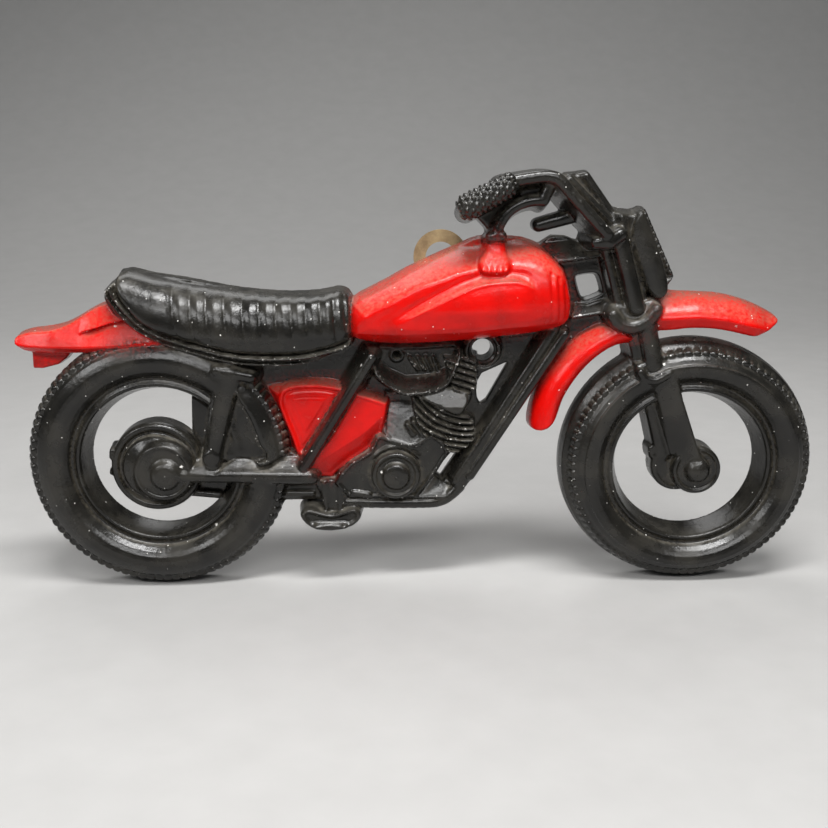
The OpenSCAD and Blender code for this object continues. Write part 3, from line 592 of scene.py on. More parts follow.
cover = poly([
    (-48.2, 64.4), (-46.9, 68.2), (-42.5, 69.9), (-35, 70.1), (-28.8, 69.2), (-26.4, 67.8),
    (-30, 60), (-36.5, 50), (-41.4, 45.2), (-44.4, 52.6), (-46.9, 59.4)
], 3)


def cover_top(x, z, d):
    return 8.2 + 0.5 * bump(d, -0.7, 0.5) - 0.5 * bump(d, -2.0, 0.7) + 0.35 * ramp(-d, 4.2, 5.2)


apron = poly([
    (-52, 67), (-49, 69.4), (-28, 69), (-24, 66), (-39, 44.5), (-43.5, 45), (-46, 52), (-49, 61)
], 2)
relief("side_cover_rear", apron, lambda x, z, d: 3.2 + 1.3 * np.clip(-d, 0, 2.6), 0.5, 0.2, 0.8)
relief("side_cover_rear", cover, cover_top, 0.6, 0.22, 0.4)


def front_cover_top(x, z, d):
    low = above_line([(-38, 40), (-20, 51.5), (-13, 58)], x, z)
    return np.clip(8.6 + 0.4 * np.minimum(low, 3), 5.5, 9.4) + 0.4 * bump(d, -0.5, 0.5)


relief("side_cover_front", poly([
    (-20, 66.4), (-12.3, 63.8), (-13.2, 56.7), (-14.2, 52), (-17, 48.4), (-24.3, 43.5), (-29, 39.6),
    (-31, 37.4), (-36.9, 38.3), (-39, 41.2), (-30.1, 53), (-22, 67)
]), front_cover_top, 0.6, 0.15, 0.6)
bar("diagonal_tube", [(-40.2, 42.4), (-17, 80)], 1.75, 11.4, 0.3, 0.7)
bar("down_tube", [(15.8, 38.4), (46.4, 86.6)], 1.7, 9, 0.05, 0.5)
bar("down_tube", [(11.2, 36.4), (43.1, 88.4)], 1.7, 8.2, 0.3, 0.5)
bar("cradle_tube", curve([
    (-26, 28.6), (-14, 28.3), (0, 28.2), (5.6, 28.8), (9.2, 30.8), (12.2, 34), (16, 39.2)
], 4, False), 1.8, [7.4], 0.12, 0.8)
relief("cradle_tube", cad_outline("cradle_tube"), 6.2, 1.2, 0.08, 0.8)
facet = poly([(-3.4, 30.2), (7.2, 30.4), (9.4, 33), (4.9, 36.4), (3.2, 38)])
relief("cradle_tube", facet,
       lambda x, z, d: np.clip(9.8 - 0.8 * (z - 30), 4.0, 9.8), 0.4, 0.1, 0.5)

# ---------- engine ----------

case = cad_outline("crankcase")
CLUTCH = (-9.3, 39.4)


def case_top(x, z, d):
    r = np.hypot(x - CLUTCH[0], z - CLUTCH[1])
    rim = 0.8 * bump(d, -0.6, 0.55)
    boss = 1.0 * bump(r, 9.4, 0.7) * ramp(z, 44, 46)
    return ENGINE_H - 0.8 + rim + boss


relief("crankcase", case, case_top, 0.9, 0.15, 0.8)
turned("clutch_cover", CLUTCH, [
    (0, 2), (0, 14.4), (2.6, 14.3), (3.9, 13.9), (4.5, 13), (5, 12.3), (6.2, 12.2), (6.9, 12.9),
    (7.5, 12.9), (8, 12.3), (8.2, 11), (8.3, 2)
], 0.3)
for turn in range(2):
    a = math.radians(40 + 90 * turn)
    u = np.array([math.cos(a), math.sin(a)])
    v = u[::-1] * (0.3, -0.3)
    slot = poly([CLUTCH + i * 1.5 * u + j * v for i, j in ((1, 1), (1, -1), (-1, -1), (-1, 1))])
    carve(slot, 0, 0.2, 13.9)
bar("crankcase", [(-23.6, 32.6), (-18.6, 31.8)], 1.1, 9.2, fillet=0.5)

intake = poly([
    (-13.6, 53.4), (-12.8, 66.6), (-3.2, 67), (-1.8, 58.4), (1.1, 52), (-1.8, 49.4), (-4.5, 48.7),
    (-11.2, 50.9)
])
relief("intake_block", intake,
       lambda x, z, d: np.clip(9.6 - 0.42 * (z - 50), 4.0, 9.8) + 0.5 * bump(d, -0.5, 0.5),
       0.5, 0.1, 0.6)
bar("intake_block", [(-3.4, 57), (-0.6, 52.8)], 0.8, 8.6, fillet=0.6)
bar("intake_block", [(-5.4, 56), (-3.4, 53)], 0.7, 8.2, fillet=0.6)

FIN_C = np.array([15.9, 77.2])


def fins(x, z, d):
    r = np.hypot(x - FIN_C[0], z - FIN_C[1])
    wave = 0.5 + 0.5 * np.cos((r - 18.4) * 2 * math.pi / 2.05)
    return 8.6 + 3.2 * wave ** 0.7 - 0.12 * np.maximum(x - 4, 0) * 1.2


relief("cylinder_barrel", cad_outline("cylinder_barrel"), fins, 0.35, 0.05, 0.3)
leaf = poly([
    (-0.6, 66.6), (4.2, 69.2), (10.8, 68.6), (14.6, 66.2), (13.2, 62.6), (10.9, 60.9), (5.6, 63.2),
    (2.4, 64.4)
], 3)
relief("cylinder_head", leaf,
       lambda x, z, d: np.clip(13.4 - 0.5 * (z - 63), 9.5, 13.4), 0.5, 0.2, 0.4)


def head_top(x, z, d):
    return 8.2 + 3.0 * (0.5 + 0.5 * np.cos((z + 0.34 * x - 72.2) * 2 * math.pi / 2.25)) ** 0.7


relief("cylinder_head", poly([(7.2, 79), (17.4, 79), (17.6, 68.8), (14, 66), (10, 67.8)]),
       head_top, 0.35, 0.1, 0.3)

dish = cad_outline("air_cleaner")


def dish_top(x, z, d):
    low = above_line([(-17, 74.8), (-11.1, 69.8), (-5.6, 67.4), (2, 68), (7.6, 70.4), (12, 79)],
                     x, z)
    inner = 12.0 - 1.15 * np.clip(low, 0, 5.2)
    edge = 0.9 * bump(d, -0.7, 0.6)
    louvre = 0
    for i in range(4):
        s = line_distance([(-4.6 + i * 2.6, 78.8), (-1.8 + i * 2.2, 74.6)], x, z)
        louvre = louvre + 1.3 * bump(s, 0, 0.6)
    return np.maximum(inner, 6.0) + edge + louvre


relief("air_cleaner", dish, dish_top, 0.5, 0.2, 0.5)
coil_c = (19.6, 81.4)
relief("coil_ring", circle(coil_c, 6.4) - circle(coil_c, 3.7),
       lambda x, z, d: 7.6 + 1.4 * bump(np.hypot(x - coil_c[0], z - coil_c[1]), 5.4, 0.7),
       0.5, 0.1, 0.5)

# ---------- foot rest ----------

stem = poly([(-37.2, 37), (-34.6, 31), (-33.4, 26), (-27.6, 26), (-25.8, 31), (-28.6, 37)])
relief("stand_stem", stem, lambda x, z, d: 8.6 + 1.1 * bump(np.abs(x + 30.8), 2.6, 1.2), 0.9)
pad = poly([
    (-41.8, 24.6), (-39.6, 27.4), (-35, 26.4), (-31.4, 25.6), (-28, 26.4), (-23.4, 27.6),
    (-21.2, 24.8), (-24, 21), (-31.2, 19.2), (-38.2, 20.4)
], 3)
relief("stand_pad", pad,
       lambda x, z, d: 10.2 + 1.1 * bump(d, -0.9, 0.8) + 1.6 * bump(z, 21.4, 1.1)
       * ramp(6.6 - np.abs(x + 31.6), 0, 2), 0.9, 0.1, 0.6)

# ---------- neck ----------

neck_hole = poly([
    (49.9, 104.4), (51.5, 105.9), (56.6, 106.4), (58.3, 104.8), (59.6, 100.4), (58.7, 98.9),
    (54, 97.1), (51.8, 98.2)
], 3)
relief("neck_web", poly([
    (40.4, 114.2), (43.6, 110.8), (53.3, 113.6), (61, 114), (66, 97), (66, 90), (50, 89.6),
    (44, 86.6), (46, 100)
]) - neck_hole, 3.6, 0.6, 0.3)
brow = [(41, 110.4), (56.3, 112.2), (62, 113)]
relief("neck_web", poly([
    (38, 115.6), (42, 118.2), (46.4, 118), (50.6, 116.4), (52, 119), (51.4, 122.8), (56, 124.8),
    (62, 122), (61, 113), (56.3, 112), (43.3, 110), (41, 111)
]), lambda x, z, d: np.clip(8.6 - 0.95 * np.maximum(above_line(brow, x, z), 0), 3.0, 8.6),
       0.5, 0.15, 0.6)
sill = [(49, 92.2), (62, 94.4)]
relief("neck_web", poly([
    (48.6, 91.6), (62.6, 94), (64, 98.4), (59.6, 97.4), (54, 95.6), (50.4, 96.2)
]), lambda x, z, d: np.clip(8.4 - 1.1 * np.maximum(above_line(sill, x, z), 0), 3.4, 8.4),
       0.4, 0.1, 0.6)
relief("neck_web", poly([(44, 86.4), (50, 92), (64, 94), (64, 86), (52, 84)]),
       4.4, 0.8, 0.1, 1.0)

# ---------- fork ----------

bar("fork_tube_near", [(63.2, 116.4), (69.2, 96)], 2.7, 11.2, 0.12, 0.8)
bar("fork_tube_far", [(58.8, 115), (64.4, 96)], 1.7, 8.4, 0.12, 0.6)
bar("fork_tube_far", [(66.8, 118), (72.4, 98.4)], 1.0, 8.0, 0.12, 0.6)
clamp = poly([
    (59.6, 113.4), (66.8, 115.3), (69.6, 119.6), (68.6, 125.4), (66, 125.6), (61.2, 126),
    (59.6, 119)
])
relief("upper_clamp", clamp,
       lambda x, z, d: 9.4 + 1.6 * bump(x - 0.25 * (120 - z), 64.6, 1.4), 1.0, 0.15, 0.9)
low = poly([
    (60.4, 95.8), (60.8, 91.6), (64, 88.6), (69, 87.4), (74.6, 90.4), (77, 95.2), (74.6, 98.4),
    (69.6, 96.2), (64.6, 96.6)
], 3)
relief("lower_clamp", low,
       lambda x, z, d: 12.0 - 0.25 * np.clip(z - 90, 0, 8), 1.0, 0.12, 0.9)
bar("lower_clamp", curve([(61.6, 93.4), (63.6, 90.8), (68.2, 89.4), (73.2, 91.6), (75.8, 95)], 3,
                         False), 2.1, 11.4, 0.12, 1.5)
bar("stanchion", [(73.2, 91), (76.2, 76.6)], [3.2, 3.1], 9.4, 0.12, 0.8)
bar("stanchion", [(69, 89), (73.2, 72)], [2.4, 2.4], 6.4, 0.3, 1.2)
collar = poly([
    (70.2, 76.8), (70.6, 72.6), (73.4, 70.6), (77, 70.2), (81.6, 72.6), (81.8, 76.2), (79.6, 78.2),
    (75, 77.4)
], 2)
relief("fork_collar", collar,
       lambda x, z, d: 12.4 - 0.2 * np.clip(z - 72, 0, 8), 1.0, 0.1, 0.7)
bar("fork_collar", curve([(71.4, 74.6), (73.2, 72.4), (77, 71.8), (81, 74.2)], 3, False), 1.25,
    12.6, 0.1, 0.8)
leg = poly([
    (75.4, 73), (83.6, 73.6), (86.2, 64.6), (92.6, 47), (95.6, 41), (90.4, 36.6), (88.2, 40),
    (81.8, 52)
])


def leg_top(x, z, d):
    off = (x - 83.9) * 0.917 + (z - 72) * 0.398
    return 13.0 - np.where(off < 0, 0.04 * off ** 2, 0)


relief("fork_leg_near", leg, leg_top, 0.9, 0.16, 0.7)
turned("fork_leg_near", (92.9, 40), [
    (0, back), (0, 14.2), (1.4, 14), (2.8, 13.4), (3.8, 12.2), (4.2, 10), (4.4, back)
], 1.8)
bar("fork_leg_far", [(74.6, 70), (81.8, 44.6)], [2.2, 2.9], 5.8, 0.2, 1.0)
bar("fork_leg_far", [(77.4, 67), (84.8, 46)], [1.0, 1.3], 8.0, 0.2, 0.8)
turned("brake_plate", (86.8, 41), [
    (0, back), (0, 7.6), (6.8, 7.7), (7.8, 8.1), (8.7, 7.7), (9.1, 6.6), (9.3, back)
], 0.5)
bar("brake_plate", [(78.4, 44.4), (78, 46.6)], 1.4, 6.0, fillet=0.8)
turned("front_hub", (92.8, 39.9), [
    (0, back), (0, 10.2), (6.4, 10.2), (7.2, 10.9), (7.9, 10.7), (8.4, 9.6), (8.7, back)
], 0.5)

# ---------- front bodywork ----------


def mud_top(x, z, d):
    r = np.hypot(x - 79, z - 51.4)
    return FENDER_H + 0.2 - np.where(r > 37.8, 0.16, 0.30) * (r - 37.8) ** 2


relief("front_mudflap", poly([
    (70.4, 84.6), (66, 86.8), (62.6, 88.6), (59.3, 89.2), (55.9, 88.2), (51.7, 86), (47.4, 82),
    (42.6, 75.8), (38.9, 69), (36.7, 62.2), (35.9, 57), (36.6, 54.4), (39.6, 54.2), (43.5, 56.4),
    (45.3, 59.7), (46.8, 64.7), (50, 70), (54.4, 76), (59.3, 80.4), (64.1, 82.9), (70, 83)
], 2), lambda x, z, d: np.maximum(mud_top(x, z, d), 3), 0.9, 0.1, 0.6)

front_crease = [(78, 91.6), (90, 92.2), (100, 91.2), (108, 89.2), (114, 87.6)]


def guard_top(x, z, d):
    a = above_line(front_crease, x, z)
    tip = 3.4 * ramp(x, 106, 119)
    return np.maximum(FENDER_H - tip - np.where(a > 0, 0.10 * a * a + 0.28 * a, -0.5 * a), 2.0)


relief("front_fender", poly([
    (76.4, 88.6), (75.8, 96), (77.4, 100.4), (83, 99.9), (89.8, 99.5), (96.7, 99.2), (103.5, 97.9),
    (109.2, 96), (113.7, 94), (118.2, 90.8), (115.6, 88.2), (112.3, 86.3), (109.6, 85.6),
    (104.2, 86.9), (95.8, 88.4), (87.5, 88.6), (82, 88)
], 3), guard_top, 0.7, 0.12, 1.2)

# ---------- lamp ----------

lamp = cad_outline("headlight_shell")


def lamp_top(x, z, d):
    off = line_distance([(67.4, 127), (70.9, 119.3), (76.4, 106.4), (78.4, 100)], x, z)
    return np.maximum(11.4 - 0.07 * off ** 2, 3.4)


relief("headlight_shell", lamp, lamp_top, 0.8, 0.1, 0.9)


def lens_top(x, z, d):
    rim = line_distance([(71.2, 127.4), (81.6, 105.4), (79.2, 100.8)], x, z)
    along = z * 0.9 - x * 0.42
    return 7.6 - 0.5 * rim + 0.3 * np.cos(along * 2 * math.pi / 2.3) * bump(rim, 0.4, 0.8)


relief("headlight_lens", cad_outline("headlight_lens"), lens_top, 0.6, 0.1, 0.5)

# ---------- handlebar ----------

bend = curve([(25, 136), (32, 137.3), (38.4, 137.9), (42.2, 136.6), (46, 132.4), (57.6, 120.2)],
             4, False)
bar("handlebar", bend, [2.0, 2.0] + [1.9] * (len(bend) - 2), BAR_H, 0.12, 0.9, 0.13)
relief("handlebar", poly([(27.4, 134.6), (40, 136.6), (40.4, 131.4), (36.4, 130.6), (31, 131.6)]),
       10.5, 1.0, 0.1, 1.2)
bar("bar_far", [(46.6, 136.6), (61, 122.4)], [1.3, 1.5], [8.6, 8.2], 0.14, 0.8, BAR_LEAN)
bar("bar_far", [(51.6, 137.4), (62.4, 123)], [1.2, 1.3], [6.6, 7.0], 0.2, 0.6, BAR_LEAN)
far_ridge = [(51.9, 138.2), (62.6, 123.2)]
relief("bar_far", poly([
    (43.6, 134.6), (46, 138), (52.6, 138.6), (63.4, 123.6), (60.4, 120), (52, 127)
]), lambda x, z, d: 7.4 + 0.9 * bump(line_distance(far_ridge, x, z), 0, 1.3), 1.0, 0.1, 1.4)
bar("bar_clamp", [(54.6, 117.2), (58.6, 117.6), (62.4, 119.6)], [1.9, 2.5, 2.3], [14.6, 14.9, 13],
    0.14, 0.8)
relief("lever", poly([
    (16.2, 125.6), (20.6, 121), (25.6, 123.6), (32, 128.8), (37, 130.4), (39.6, 135.6),
    (27.2, 133.8), (20, 129.6)
]), 7.6, 1.0, 0.1, 1.4)
bar("lever", curve([
    (22.8, 119.4), (24, 123), (26.4, 126.6), (29.9, 129), (33.8, 130.2), (37.4, 130.4)
], 3, False), 1.6, 13.4, 0.1, 0.9, 0.08)
bar("lever", [(21.2, 119), (24.4, 119.2)], 1.9, 13.4, 0.04, 0.6, BAR_LEAN)
bar("lever", [(37.6, 130.6), (39.6, 135.6)], 1.9, 13.6, 0.05, 0.8, BAR_LEAN)
bar("grip_far", [(37.4, 121.9), (54, 126.4)], [2.2, 2.6], 4.6, 0.02, 0.5)


def grip(name, a, b, h0, ra, rb, knurl):
    """A moulded grip: small studs in rings round a tapered bar."""
    a, b = np.array(a), np.array(b)
    pad_r = max(ra, rb) + 1
    cut, x, z, h = window(np.minimum(a, b) - pad_r - (0, BAR_LEAN * h0), np.maximum(a, b) + pad_r)
    z = z + BAR_LEAN * np.maximum(h0 - h, 0)
    length = np.linalg.norm(b - a)
    u = (b - a) / length
    way = (x - a[0]) * u[0] + (z - a[1]) * u[1]
    off = (x - a[0]) * -u[1] + (z - a[1]) * u[0]
    rad = ra + (rb - ra) * np.clip(way / length, 0, 1)
    angle = np.arctan2(h - h0, off)
    ring = way / STUD_PITCH
    turn = np.pi * (np.round(ring) % 2)
    stud = ((0.5 + 0.5 * np.cos(ring * 2 * math.pi))
            * (0.5 + 0.5 * np.cos(angle * STUDS_ROUND + turn)))
    e = np.sqrt(off ** 2 + np.maximum(np.abs(way - length / 2) - length / 2 + 1.4, 0) ** 2)
    up = h - h0
    d = np.where(up > 0, np.hypot(e, up), e) - rad + 0.02 * np.maximum(-up, 0)
    d = d - knurl * (1.5 * stud - 0.3) * ramp(up, -2 * rad, 0)
    stamp(name, cut, d, 0.6)


grip("grip_near", (12.6, 128.4), (26.6, 135.6), GRIP_H - 0.4, 4.0, 3.4, 0.6)
bar("grip_near", [(25.9, 138.2), (27.6, 134.2)], 1.2, GRIP_H - 0.4, 0.1, 0.5, BAR_LEAN)

# ---------- back: flat rim plane and cored hollows ----------

for c, r in ((REAR, REAR_R), (FRONT, FRONT_R)):
    carve(circle(c, r - 5.6) - circle(c, 33.3), 8.0)
carve(poly([(-92, 98), (-88, 103), (-60, 97.6), (-30, 96.6), (-30, 88), (-60, 86), (-80, 91)]),
      8.0)
rivet_lo, rivet_hi = row_box("hanger_rivet")
RIVET = np.array([(rivet_lo[0] + rivet_hi[0]) / 2 - SHIFT, (rivet_lo[2] + rivet_hi[2]) / 2])
carve(poly([
    (-8, 91), (-4, 95), (6, 99.5), (13.5, 103), (14, 107), (31, 107), (38, 101.5), (40.5, 96),
    (39, 93.5), (24, 91), (-4, 89.4)
]) - circle(RIVET, 4.5), 8.6)
h_all = np.broadcast_to(GH[None, None, :], GRID)
solid[:] = soft_max(solid, -h_all, 0.25)
solid[:] = soft_max(solid, -np.broadcast_to(GZ[None, :, None], GRID), 0.2)

# ---------- meshing ----------


def sample(field, p):
    """Trilinear value of a grid field at plaque points."""
    q = (p - (GX[0], GZ[0], GH[0])) / VOXEL
    q = np.clip(q, 0, np.array(GRID) - 1.001)
    i = q.astype(int)
    f = (q - i).astype(np.float32)
    out = 0
    for c in range(8):
        o = (c & 1, c >> 1 & 1, c >> 2 & 1)
        w = 1
        for k in range(3):
            w = w * (f[:, k] if o[k] else 1 - f[:, k])
        out = out + w * field[i[:, 0] + o[0], i[:, 1] + o[1], i[:, 2] + o[2]]
    return out


def slope(p, step=VOXEL):
    """Unit direction in which the field grows, away from the casting."""
    g = np.stack([sample(solid, p + s) - sample(solid, p - s) for s in np.eye(3) * step], -1)
    return g / np.maximum(np.linalg.norm(g, axis=1, keepdims=True), 1e-6)


label = np.where(solid < 0, owner, 0).astype(np.uint8)
label[[0, -1]] = 0
label[:, [0, -1]] = 0
label[:, :, [0, -1]] = 0


def ends_along(k):
    """Two cuts of a grid that pair each node with the next one along axis k."""
    a, b = [slice(None)] * 3, [slice(None)] * 3
    a[k], b[k] = slice(None, -1), slice(1, None)
    return tuple(a), tuple(b)


def cells_near(k):
    """True for each cell that touches a grid edge along axis k whose ends differ."""
    a, b = ends_along(k)
    differ = label[a] != label[b]
    for other in range(3):
        if other != k:
            a, b = ends_along(other)
            differ = differ[a] | differ[b]
    return differ


# one vertex in each cell that a surface crosses: on the skin, or on a seam between two sub-parts
active = cells_near(0) | cells_near(1) | cells_near(2)
cell = np.argwhere(active)
number = np.full(active.shape, -1, np.int32)
number[tuple(cell.T)] = np.arange(len(cell))
corner_value, corner_label = [], []
for c in range(8):
    at = tuple((cell + (c & 1, c >> 1 & 1, c >> 2 & 1)).T)
    corner_value.append(solid[at])
    corner_label.append(label[at])
skin_sum, skin_n = np.zeros((len(cell), 3)), np.zeros(len(cell))
seam_sum, seam_n = np.zeros((len(cell), 3)), np.zeros(len(cell))
for c in range(8):
    for k in range(3):
        if c >> k & 1:
            continue
        e = c | 1 << k
        la, lb = corner_label[c], corner_label[e]
        skin = (la == 0) != (lb == 0)
        seam = (la != lb) & ~skin
        va, vb = corner_value[c], corner_value[e]
        t = np.clip(va / np.where(va == vb, 1, va - vb), 0, 1)
        p = np.tile(np.array([c & 1, c >> 1 & 1, c >> 2 & 1], float), (len(cell), 1))
        p[:, k] += t
        skin_sum += p * skin[:, None]
        skin_n += skin
        p[:, k] += 0.5 - t
        seam_sum += p * seam[:, None]
        seam_n += seam
on_skin = skin_n > 0
inside_cell = np.where(on_skin[:, None], skin_sum / np.maximum(skin_n, 1)[:, None],
                       seam_sum / np.maximum(seam_n, 1)[:, None])
point = (cell + inside_cell) * VOXEL + (GX[0], GZ[0], GH[0])
skin_p = point[on_skin]
for _ in range(2):
    n = slope(skin_p)
    step = np.clip(sample(solid, skin_p), -0.4 * VOXEL, 0.4 * VOXEL)
    skin_p = skin_p - n * step[:, None]
point[on_skin] = skin_p
normal = slope(point)

quads, quad_label = [], []
for k in range(3):
    la, lb = (label[end] for end in ends_along(k))
    edge = np.argwhere(la != lb)
    la, lb = la[tuple(edge.T)], lb[tuple(edge.T)]
    u, v = (k + 1) % 3, (k + 2) % 3
    ring = []
    for du, dv in ((-1, -1), (0, -1), (0, 0), (-1, 0)):
        at = edge.copy()
        at[:, u] += du
        at[:, v] += dv
        ring.append(number[tuple(at.T)])
    ring = np.stack(ring, -1)
    for lab, order in ((la, ring), (lb, ring[:, ::-1])):
        keep = lab > 0
        quads.append(order[keep])
        quad_label.append(lab[keep])
quads, quad_label = np.concatenate(quads), np.concatenate(quad_label)


def room(step):
    """How free the field is at a step along the normal: 1 over a plain face, less in a hollow."""
    return np.clip(sample(solid, point + normal * step) / step, 0, 1)


# what the paint looks at: which paint is near, hollows, edges and the sky
surface_red = np.clip(sample(to_red, point), -2, FAR)
surface_black = np.clip(sample(to_black, point), -2, FAR)
MASKS = {
    "paint_edge": surface_black - surface_red,
    "red_near": np.clip(1 - np.maximum(surface_red, 0) / 6.0, 0, 1) ** 2,
    "black_near": np.exp(-np.maximum(surface_black, 0) / 1.2),
    "hollow": 1 - 0.5 * (room(1.8) + room(3.0)),
    "edge": 1 - room(-1.0),
    "sky": np.clip(normal[:, 1], -1, 1),
    "rise": np.clip(point[:, 2] / 20, 0, 1),
}

# ---------- materials ----------


class Shader:
    """A node material written as short calls."""

    def __init__(self, name):
        self.mat = bpy.data.materials.new(name)
        self.mat.use_nodes = True
        self.tree = self.mat.node_tree
        self.tree.nodes.clear()
        self.out = self.node("ShaderNodeOutputMaterial")
        self.bsdf = self.node("ShaderNodeBsdfPrincipled")
        self.tree.links.new(self.bsdf.outputs[0], self.out.inputs[0])
        self.place = self.node("ShaderNodeTexCoord").outputs["Object"]

    def node(self, kind, sockets=None, **values):
        n = self.tree.nodes.new(kind)
        for key, value in values.items():
            setattr(n, key, value)
        self.put(n, sockets or {})
        return n

    def put(self, n, sockets):
        """Sets the inputs of a node to links or to plain values."""
        for key, value in sockets.items():
            if isinstance(value, bpy.types.NodeSocket):
                self.tree.links.new(value, n.inputs[key])
            else:
                n.inputs[key].default_value = value

    def mask(self, name):
        return self.node("ShaderNodeAttribute", attribute_name=name).outputs["Fac"]

    def math(self, op, a, b=0.0, c=0.0):
        return self.node("ShaderNodeMath", {0: a, 1: b, 2: c}, operation=op).outputs[0]

    def times(self, a, b):
        return self.math("MULTIPLY", a, b)

    def noise(self, scale, detail=3.0, rough=0.55, stretch=None):
        where = self.place
        if stretch:
            where = self.node("ShaderNodeMapping", {"Vector": where, "Scale": stretch}).outputs[0]
        return self.node("ShaderNodeTexNoise", {
            "Vector": where, "Scale": scale, "Detail": detail, "Roughness": rough}).outputs["Fac"]

    def dots(self, scale, size):
        """Scattered specks: how far inside a speck of this size, and each one's own chance."""
        n = self.node("ShaderNodeTexVoronoi", {"Vector": self.place, "Scale": scale})
        near = self.math("SUBTRACT", size, n.outputs["Distance"])
        return near, self.node("ShaderNodeSeparateColor", {0: n.outputs["Color"]}).outputs[0]

    def band(self, x, a, b):
        """Smooth step from 0 at a to 1 at b."""
        return self.node("ShaderNodeMapRange", {"Value": x, "From Min": a, "From Max": b},
                         interpolation_type="SMOOTHSTEP").outputs[0]

    def mix(self, fac, a, b):
        a, b = (c if isinstance(c, bpy.types.NodeSocket) else (*c, 1) for c in (a, b))
        return self.node("ShaderNodeMix", {0: fac, 6: a, 7: b}, data_type="RGBA").outputs[2]

    def bump(self, height, distance, strength=1.0, under=None):
        n = self.node("ShaderNodeBump", {"Height": height, "Distance": distance,
                                         "Strength": strength})
        if under:
            self.put(n, {"Normal": under})
        return n.outputs[0]


BLACK = (0.0065, 0.006, 0.005)
BLACK_WORN = (0.022, 0.020, 0.016)
GRIME = (0.105, 0.088, 0.062)
# painted sheen: pale pink that stands in for the light that up-facing red catches from above
PAINTED_SHEEN = (0.40, 0.13, 0.085)
RED = (0.64, 0.003, 0.0015)
RED_DEEP = (0.40, 0.003, 0.0015)
MAROON = (0.20, 0.013, 0.009)
DUST = (0.30, 0.28, 0.235)
METAL = (0.72, 0.70, 0.66)


def enamel(name):
    """Two spray paints over a rough casting: the masks say where each lies and how it wears."""
    s = Shader(name)
    wide, fine, grit = s.noise(90, 4), s.noise(900, 3), s.noise(2600, 2)
    ragged = s.math("MULTIPLY_ADD", s.math("SUBTRACT", fine, 0.5), 1.6, s.mask("paint_edge"))
    red_here = s.band(ragged, -0.35, 0.35)

    black = s.mix(s.band(wide, 0.35, 0.75), BLACK, BLACK_WORN)
    spray = s.times(s.mask("red_near"), s.band(fine, 0.35, 0.65))
    black = s.mix(s.times(spray, 0.75), black, MAROON)

    red = s.mix(s.band(wide, 0.3, 0.8), RED, RED_DEEP)
    smoke = s.times(s.mask("black_near"), s.band(grit, 0.30, 0.62))
    behind = s.math("SUBTRACT", 1.0, s.band(s.mask("rise"), 0.10, 0.42))
    smoke = s.math("MAXIMUM", smoke, s.times(behind, s.band(fine, 0.2, 0.8)))
    red = s.mix(s.times(smoke, 0.85), red, BLACK_WORN)
    # painted sheen: red that faces up is mixed towards pale pink, as if lit from above
    sheen_up = s.times(s.band(s.mask("sky"), 0.30, 0.62), s.band(fine, 0.25, 0.7))
    red = s.mix(s.times(sheen_up, 0.42), red, PAINTED_SHEEN)
    steep = s.times(s.band(s.mask("sky"), 0.72, 0.95), s.band(grit, 0.3, 0.6))
    red = s.mix(s.times(steep, 0.6), red, GRIME)
    caked = s.times(s.band(s.mask("hollow"), 0.18, 0.55), s.band(fine, 0.3, 0.75))
    black = s.mix(s.times(caked, 0.34), black, GRIME)
    paint = s.mix(red_here, black, red)

    lying = s.band(s.mask("sky"), 0.25, 0.95)
    dust = s.times(lying, s.band(s.noise(260, 5, 0.7), 0.30, 0.72))
    dust = s.times(dust, s.math("MULTIPLY_ADD", s.mask("hollow"), 0.5, 0.06))
    paint = s.mix(dust, paint, DUST)

    ragged_dot = s.math("MULTIPLY_ADD", s.math("SUBTRACT", grit, 0.5), 0.5, 0.22)
    near, rare = s.dots(900, ragged_dot)
    chip = s.times(s.band(near, 0.0, 0.08), s.band(rare, 0.975, 0.98))
    near, rare = s.dots(300, s.times(ragged_dot, 0.75))
    big_chip = s.times(s.band(near, 0.0, 0.05), s.band(rare, 0.985, 0.99))
    worn = s.times(s.band(s.mask("edge"), 0.42, 0.62), s.band(fine, 0.62, 0.68))
    bare = s.math("MAXIMUM", s.math("MAXIMUM", chip, big_chip), worn)

    rough = s.math("MULTIPLY_ADD", s.band(wide, 0.2, 0.9), 0.14, 0.2)
    rough = s.math("MULTIPLY_ADD", dust, 0.5, rough)
    skin = s.bump(s.noise(330, 4, 0.6), 0.00034, 0.6)
    skin = s.bump(grit, 0.00005, 0.5, skin)
    s.put(s.bsdf, {
        "Base Color": s.mix(bare, paint, METAL),
        "Roughness": s.math("MINIMUM", rough, 1.0),
        "Specular IOR Level": s.math("MULTIPLY_ADD", red_here, -0.16, 0.38),
        "Coat Weight": 0.08, "Coat Roughness": 0.18,
        "Normal": s.bump(bare, -0.00006, 0.6, skin)})
    return s.mat


def aged_brass(name):
    s = Shader(name)
    wide, fine = s.noise(160, 5, 0.65), s.noise(1500, 3)
    tone = s.mix(s.band(wide, 0.3, 0.7), (0.46, 0.35, 0.19), (0.24, 0.17, 0.09))
    tone = s.mix(s.times(s.band(fine, 0.55, 0.75), 0.5), tone, (0.42, 0.34, 0.20))
    brushed = s.noise(700, 2, 0.5, (1, 1, 0.08))
    s.put(s.bsdf, {
        "Base Color": tone, "Metallic": 0.6,
        "Roughness": s.math("MULTIPLY_ADD", wide, 0.35, 0.35),
        "Normal": s.bump(brushed, 0.00006, 0.5)})
    return s.mat


black_enamel, red_enamel = enamel("black_enamel"), enamel("red_enamel")
brass = aged_brass("aged_brass")

# ---------- pieces ----------


def add(name, data):
    ob = bpy.data.objects.new(name, data)
    bpy.context.scene.collection.objects.link(ob)
    return ob


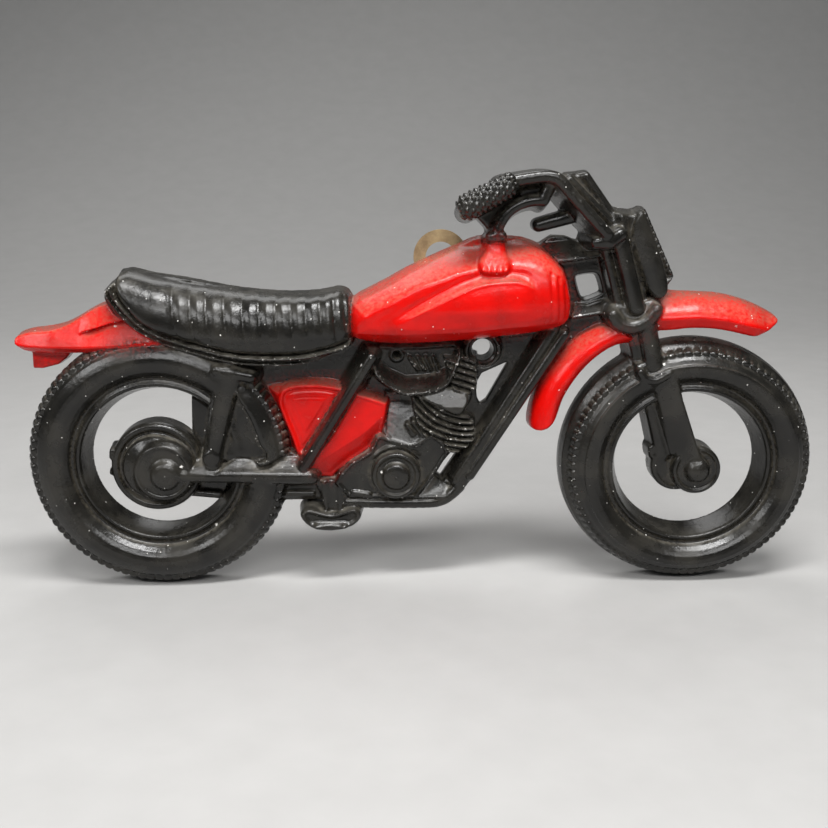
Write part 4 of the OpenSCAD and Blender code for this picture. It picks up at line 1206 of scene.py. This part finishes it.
for number_of, node in enumerate(NAMES, 1):
    mine = quads[quad_label == number_of]
    used, faces = np.unique(mine, return_inverse=True)
    me = bpy.data.meshes.new(node + "_cast")
    me.from_pydata(to_row(point[used]).tolist(), [], faces.reshape(-1, 4).tolist())
    me.polygons.foreach_set("use_smooth", np.ones(len(mine), bool))
    n = normal[used]
    me.normals_split_custom_set_from_vertices(np.stack([n[:, 0], -n[:, 2], n[:, 1]], -1).tolist())
    for mask, values in MASKS.items():
        me.attributes.new(mask, "FLOAT", "POINT").data.foreach_set(
            "value", values[used].astype(np.float32))
    piece = add(node + "_cast", me)
    red = node in RED_PARTS
    me.materials.append(red_enamel if red else black_enamel)
    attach(piece, "casting")
    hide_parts(node)

# ---------- hanger ----------

for node in ("hanger", "hanger_rivet"):
    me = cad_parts[node].data
    me.materials.clear()
    me.materials.append(brass)

# ---------- floor, light, camera ----------


def floor_paper(name):
    s = Shader(name)
    tone = s.mix(s.noise(60, 4), (0.36, 0.354, 0.345), (0.41, 0.404, 0.394))
    s.put(s.bsdf, {"Base Color": tone, "Roughness": 0.7})
    return s.mat


floor_mesh = bpy.data.meshes.new("floor")
ROOM, BEND, BEHIND = 12.0, 0.9, 0.5  # half width, radius of the bend, where it starts
profile = [(-ROOM, 0.0)] + [(BEND * math.sin(a) + BEHIND, BEND - BEND * math.cos(a))
                            for a in np.linspace(0, math.pi / 2, 13)] + [(BEND + BEHIND, 3.2)]
verts = [(x, y, z) for y, z in profile for x in (-ROOM, ROOM)]
floor_mesh.from_pydata(verts, [], [(2 * i, 2 * i + 1, 2 * i + 3, 2 * i + 2)
                                   for i in range(len(profile) - 1)])
floor_mesh.polygons.foreach_set("use_smooth", np.ones(len(profile) - 1, bool))
floor_mesh.materials.append(floor_paper("floor_paper"))
floor = add("floor", floor_mesh)

world = bpy.data.worlds.new("studio")
bpy.context.scene.world = world
world.use_nodes = True
sky = world.node_tree.nodes["Background"]
sky.inputs["Color"].default_value = (0.9, 0.95, 1.0, 1)
sky.inputs["Strength"].default_value = 0.1


def lamp_panel(name, place, aim, size, power):
    data = bpy.data.lights.new(name, "AREA")
    data.shape = "RECTANGLE"
    data.size, data.size_y = size
    data.energy = power
    ob = add(name, data)
    ob.location = place
    ob.rotation_euler = (Vector(aim) - Vector(place)).to_track_quat("-Z", "Y").to_euler()


lamp_panel("top_panel", (0.06, -0.24, 0.72), (0, 0, 0.06), (0.46, 0.11), 6.5)
lamp_panel("wide_panel", (0.05, -0.7, 0.6), (0, 0, 0.06), (0.8, 0.16), 4.5)
lamp_panel("side_panel", (-0.62, -0.42, 0.5), (0, 0, 0.06), (0.3, 0.2), 2.0)
lamp_panel("back_panel", (-0.2, 0.5, 0.9), (0, 0.1, 0.06), (0.8, 0.5), 4)

VIEW = Vector((0.02534, 0.96782, -0.25038)).normalized()  # looks a little down and to the right
AIM = Vector(to_row((-2.935, 57.64, 0.0)))  # a little left of the middle of the plaque's back
DISTANCE = 0.38017
LENS = 48.26
camera = bpy.data.cameras.new("camera")
camera.sensor_width = 36
camera.lens = LENS
camera_ob = add("camera", camera)
camera_ob.location = AIM - VIEW * DISTANCE
camera_ob.rotation_euler = VIEW.to_track_quat("-Z", "Y").to_euler()
bpy.context.scene.camera = camera_ob
bpy.context.scene.view_settings.view_transform = "Standard"
